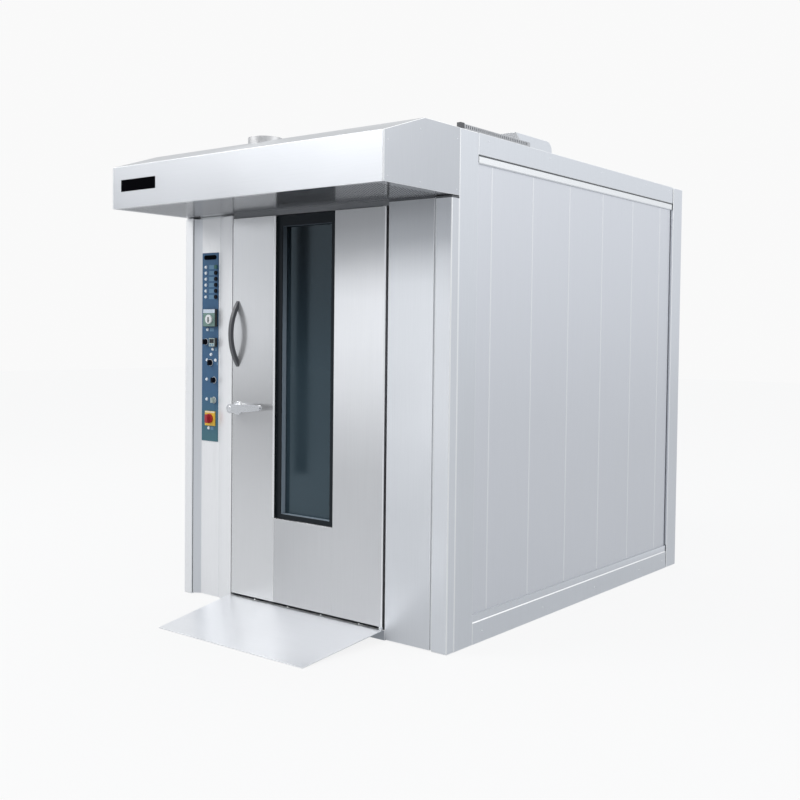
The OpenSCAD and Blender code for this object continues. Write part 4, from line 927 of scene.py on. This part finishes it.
folded("cycle_timer", "black_plastic", case_black, fold=1 * MM)
timer_low, timer_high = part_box("cycle_timer")
face_silver = enamel("face_silver", (0.40, 0.50, 0.50), 0.35)
timer_front, timer_back = timer_low.y - 0.3 * MM, timer_low.y + 0.4 * MM
timer_left, timer_right = timer_low.x + case_rim, timer_high.x - case_rim
timer_sill, lintel = timer_low.z + 19.4 * MM, timer_high.z - 5.6 * MM
bars("timer_face", "root", "silver_plastic", face_silver, [
    ((timer_left, timer_front, timer_low.z + case_rim), (timer_right, timer_back, timer_sill)),
    ((timer_left, timer_front, lintel), (timer_right, timer_back, timer_high.z - case_rim)),
    ((timer_left, timer_front, timer_sill), (timer_low.x + 5.6 * MM, timer_back, lintel)),
    ((timer_high.x - 5.6 * MM, timer_front, timer_sill), (timer_right, timer_back, lintel)),
], fold=0.12 * MM)
key_w, key_foot, key_head = 11, timer_low.z + 6 * MM, timer_low.z + 14 * MM
bars("timer_keys", "root", "black_plastic", field_print, [
    ((timer_low.x + x * MM, timer_low.y - 0.9 * MM, key_foot),
     (timer_low.x + (x + key_w) * MM, timer_low.y + 0.2 * MM, key_head)) for x in (9, 28)
], fold=0.3 * MM)


# ---- Selectors and main switch ----
# Rotary selectors with moulded levers, each in a real bezel ring whose pale tone is a
# painted highlight. The main switch has a red knob on a yellow plate whose upper edge
# carries a painted highlight.

selector_grey = enamel("selector_grey", (0.42, 0.49, 0.46), 0.4)
for number in range(1, 5):
    folded("selector_%d" % number, "silver_plastic" if number == 4 else "black_plastic",
           selector_grey if number == 4 else button_black, fold=1.2 * MM)
selector_places = [(strip_x + x * MM, z) for x, z in
                   ((-32, 1.408), (8, 1.294), (36, 1.199), (36, 1.089))]


def round_ring(tree, sizes):
    """A ring of round wire, as a circle swept along a circle."""
    path, wire = (node_setup(tree, "GeometryNodeCurvePrimitiveCircle", (-700, down), {
        "Resolution": steps, "Radius": sizes[label]}).outputs["Curve"]
        for label, steps, down in (("Ring Radius", 32, 100), ("Wire Radius", 8, -100)))
    swept = node_setup(tree, "GeometryNodeCurveToMesh", (-450, 0), {
        "Curve": path, "Profile Curve": wire})
    return swept.outputs["Mesh"]


# The bezel rings are real; their pale tone is a painted highlight.
ring_highlight_white = enamel("ring_highlight_white", (0.60, 0.63, 0.66), 0.30, coat=0.3)
rings = repeat_tree("rings", ring_highlight_white, (("Ring Radius", 17 * MM), ("Wire Radius", 1.6 * MM)),
                    round_ring)
grown("selector_rings", rings, [(x, depth_y(27.4), z) for x, z in selector_places],
      "root", "silver_plastic", Turn=FACING_FRONT)
switch_yellow = enamel("switch_yellow", (0.80, 0.50, 0.05), 0.35)
folded("main_switch_plate", "yellow_plastic", switch_yellow, fold=1.5 * MM)
switch_low, switch_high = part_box("main_switch_plate")
# A pale strip along the plate's upper edge: a painted highlight.
yellow_highlight = enamel("yellow_highlight", (0.85, 0.74, 0.50), 0.35)
bars("switch_top_highlight", "root", "yellow_plastic", yellow_highlight, [
    ((switch_low.x + 1.5 * MM, switch_low.y - 0.5 * MM, switch_high.z - 9 * MM),
     (switch_high.x - 1.5 * MM, switch_low.y + 0.4 * MM, switch_high.z - 1 * MM)),
], fold=0.2 * MM)
switch_red = enamel("switch_red", (0.42, 0.022, 0.035), 0.3)
folded("main_switch_knob", "red_plastic", switch_red, fold=1.8 * MM)


# ---- Baking chamber ----
# Bright stainless sheets line the chamber. The side sheets are slotted for the hot air, and
# a hook on the rack shaft hangs under the ceiling.

liner_steel = steel("liner_steel", (0.66, 0.66, 0.66), 0.33)
folded("chamber_liner", "stainless_bright", liner_steel, fold=0.8 * MM)
folded("air_panels", "stainless_bright", liner_steel, fold=0.8 * MM)
folded("rack_hook", "stainless_bright", bright_steel, fold=1.5 * MM)
air_front, air_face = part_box("air_panels")[0].y, 0.6496
for name, x, turn in (("air_panel_screws", air_face, FACING_LEFT),
                      ("far_air_panel_screws", -air_face, FACING_RIGHT)):
    grown(name, screws,
          [(x, air_front + d * MM, z) for d in (24, 502, 838, 1316)
           for z in (0.09, 0.72, 1.38, 2.01)],
          "root", "stainless_bright", Turn=turn, Head_Radius=5 * MM)


# ---- Drive and fans ----
# The gear unit and its motor turn the rack shaft. A radial fan behind the chamber is driven
# by a motor on the roof, under a folded cover. Its shaft has a little play in the motor.

machine_enamel = enamel("machine_enamel", (0.09, 0.16, 0.24), 0.4, coat=0.2)
folded("drive_gearmotor", "motor_paint", machine_enamel, fold=4 * MM, segments=3)
folded("fan_motors", "motor_paint", machine_enamel, fold=2 * MM, segments=3)
fan = folded("circulation_fan", "galvanised", galvanised, fold=0.8 * MM)
fan_low, fan_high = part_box("circulation_fan")
fan_axis = (fan_low.xy + fan_high.xy) / 2
motor_foot, shaft_share = BODY_TOP - 1 * MM, 0.97
for corner in fan.data.vertices:
    if corner.co.z > motor_foot:
        corner.co.xy = fan_axis + (corner.co.xy - fan_axis) * shaft_share
folded("fan_motor_cover", "stainless", casing_steel, fold=3 * MM, segments=3, edge=painted_glint_steel)
gear_low, gear_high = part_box("drive_gearmotor")
gear_y, gear_foot = (gear_low.y + gear_high.y) / 2, 2.412
grown("gear_screws", screws,
      [(s * 130 * MM, gear_y + t * 100 * MM, gear_foot) for s in (-1, 1) for t in (-1, 1)],
      "root", "stainless_bright", Head_Radius=8 * MM, Head_Height=6 * MM)
fins = repeat_tree("cooling_fins", machine_enamel,
                   (("Ring Radius", 62 * MM), ("Wire Radius", 2.4 * MM)), round_ring)
motor_axis, first_fin, fin_pitch = gear_foot + 75 * MM, 0.142, 14
grown("gear_motor_fins", fins,
      [(first_fin + i * fin_pitch * MM, gear_y, motor_axis) for i in range(12)],
      "root", "motor_paint", Turn=FACING_RIGHT)
cover_low, cover_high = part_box("fan_motor_cover")
for name, x, turn in (("cover_screws", cover_high.x - screw_sink, FACING_RIGHT),
                      ("far_cover_screws", cover_low.x + screw_sink, FACING_LEFT)):
    grown(name, screws,
          [(x, cover_low.y + d * MM, cover_low.z + 16 * MM) for d in (80, 237, 394)],
          "root", "stainless_bright", Turn=turn, Head_Radius=5 * MM)


# ---- Heat exchanger and burner ----
# Tubes between two boxes carry the flue gas of the burner, and their steel is tinted by the
# heat. The housing of the burner is enamelled red.

heat_steel = steel("heat_steel", (0.42, 0.37, 0.33), 0.45, smear=0.1)
folded("heat_exchanger", "heat_steel", heat_steel, fold=2 * MM)
burner_enamel = enamel("burner_enamel", (0.42, 0.03, 0.02), 0.35, coat=0.3)
folded("burner", "burner_paint", burner_enamel, fold=4 * MM, segments=3)


# ---- Back wall ----
# The rear cassettes, of the same sheet as those of the sides, are screwed to the rails above
# and below them.

back_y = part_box("corner_posts")[1].y
grown("rear_rail_screws", screws,
      [(x, back_y - screw_sink, z)
       for z in (0.052, 2.35) for x in (-0.72, -0.386, 0, 0.386, 0.72)],
      "root", "stainless_bright", Turn=FACING_BACK, Head_Radius=5 * MM)


# ---- Cable duct ----
# A dark grey gland block on the roof's corner leads into a slotted duct of pale plastic,
# which lies along the edge of the roof.

duct_pale = enamel("duct_pale", (0.50, 0.51, 0.53), 0.5)
duct = folded("cable_duct", "handle_grey", duct_pale, fold=0.4 * MM, segments=1)
gland_dark = enamel("gland_dark", (0.10, 0.102, 0.11), 0.5)
gland_end = depth_y(90.5)
pick_out(duct, gland_dark, lambda side: side.center.y < gland_end)
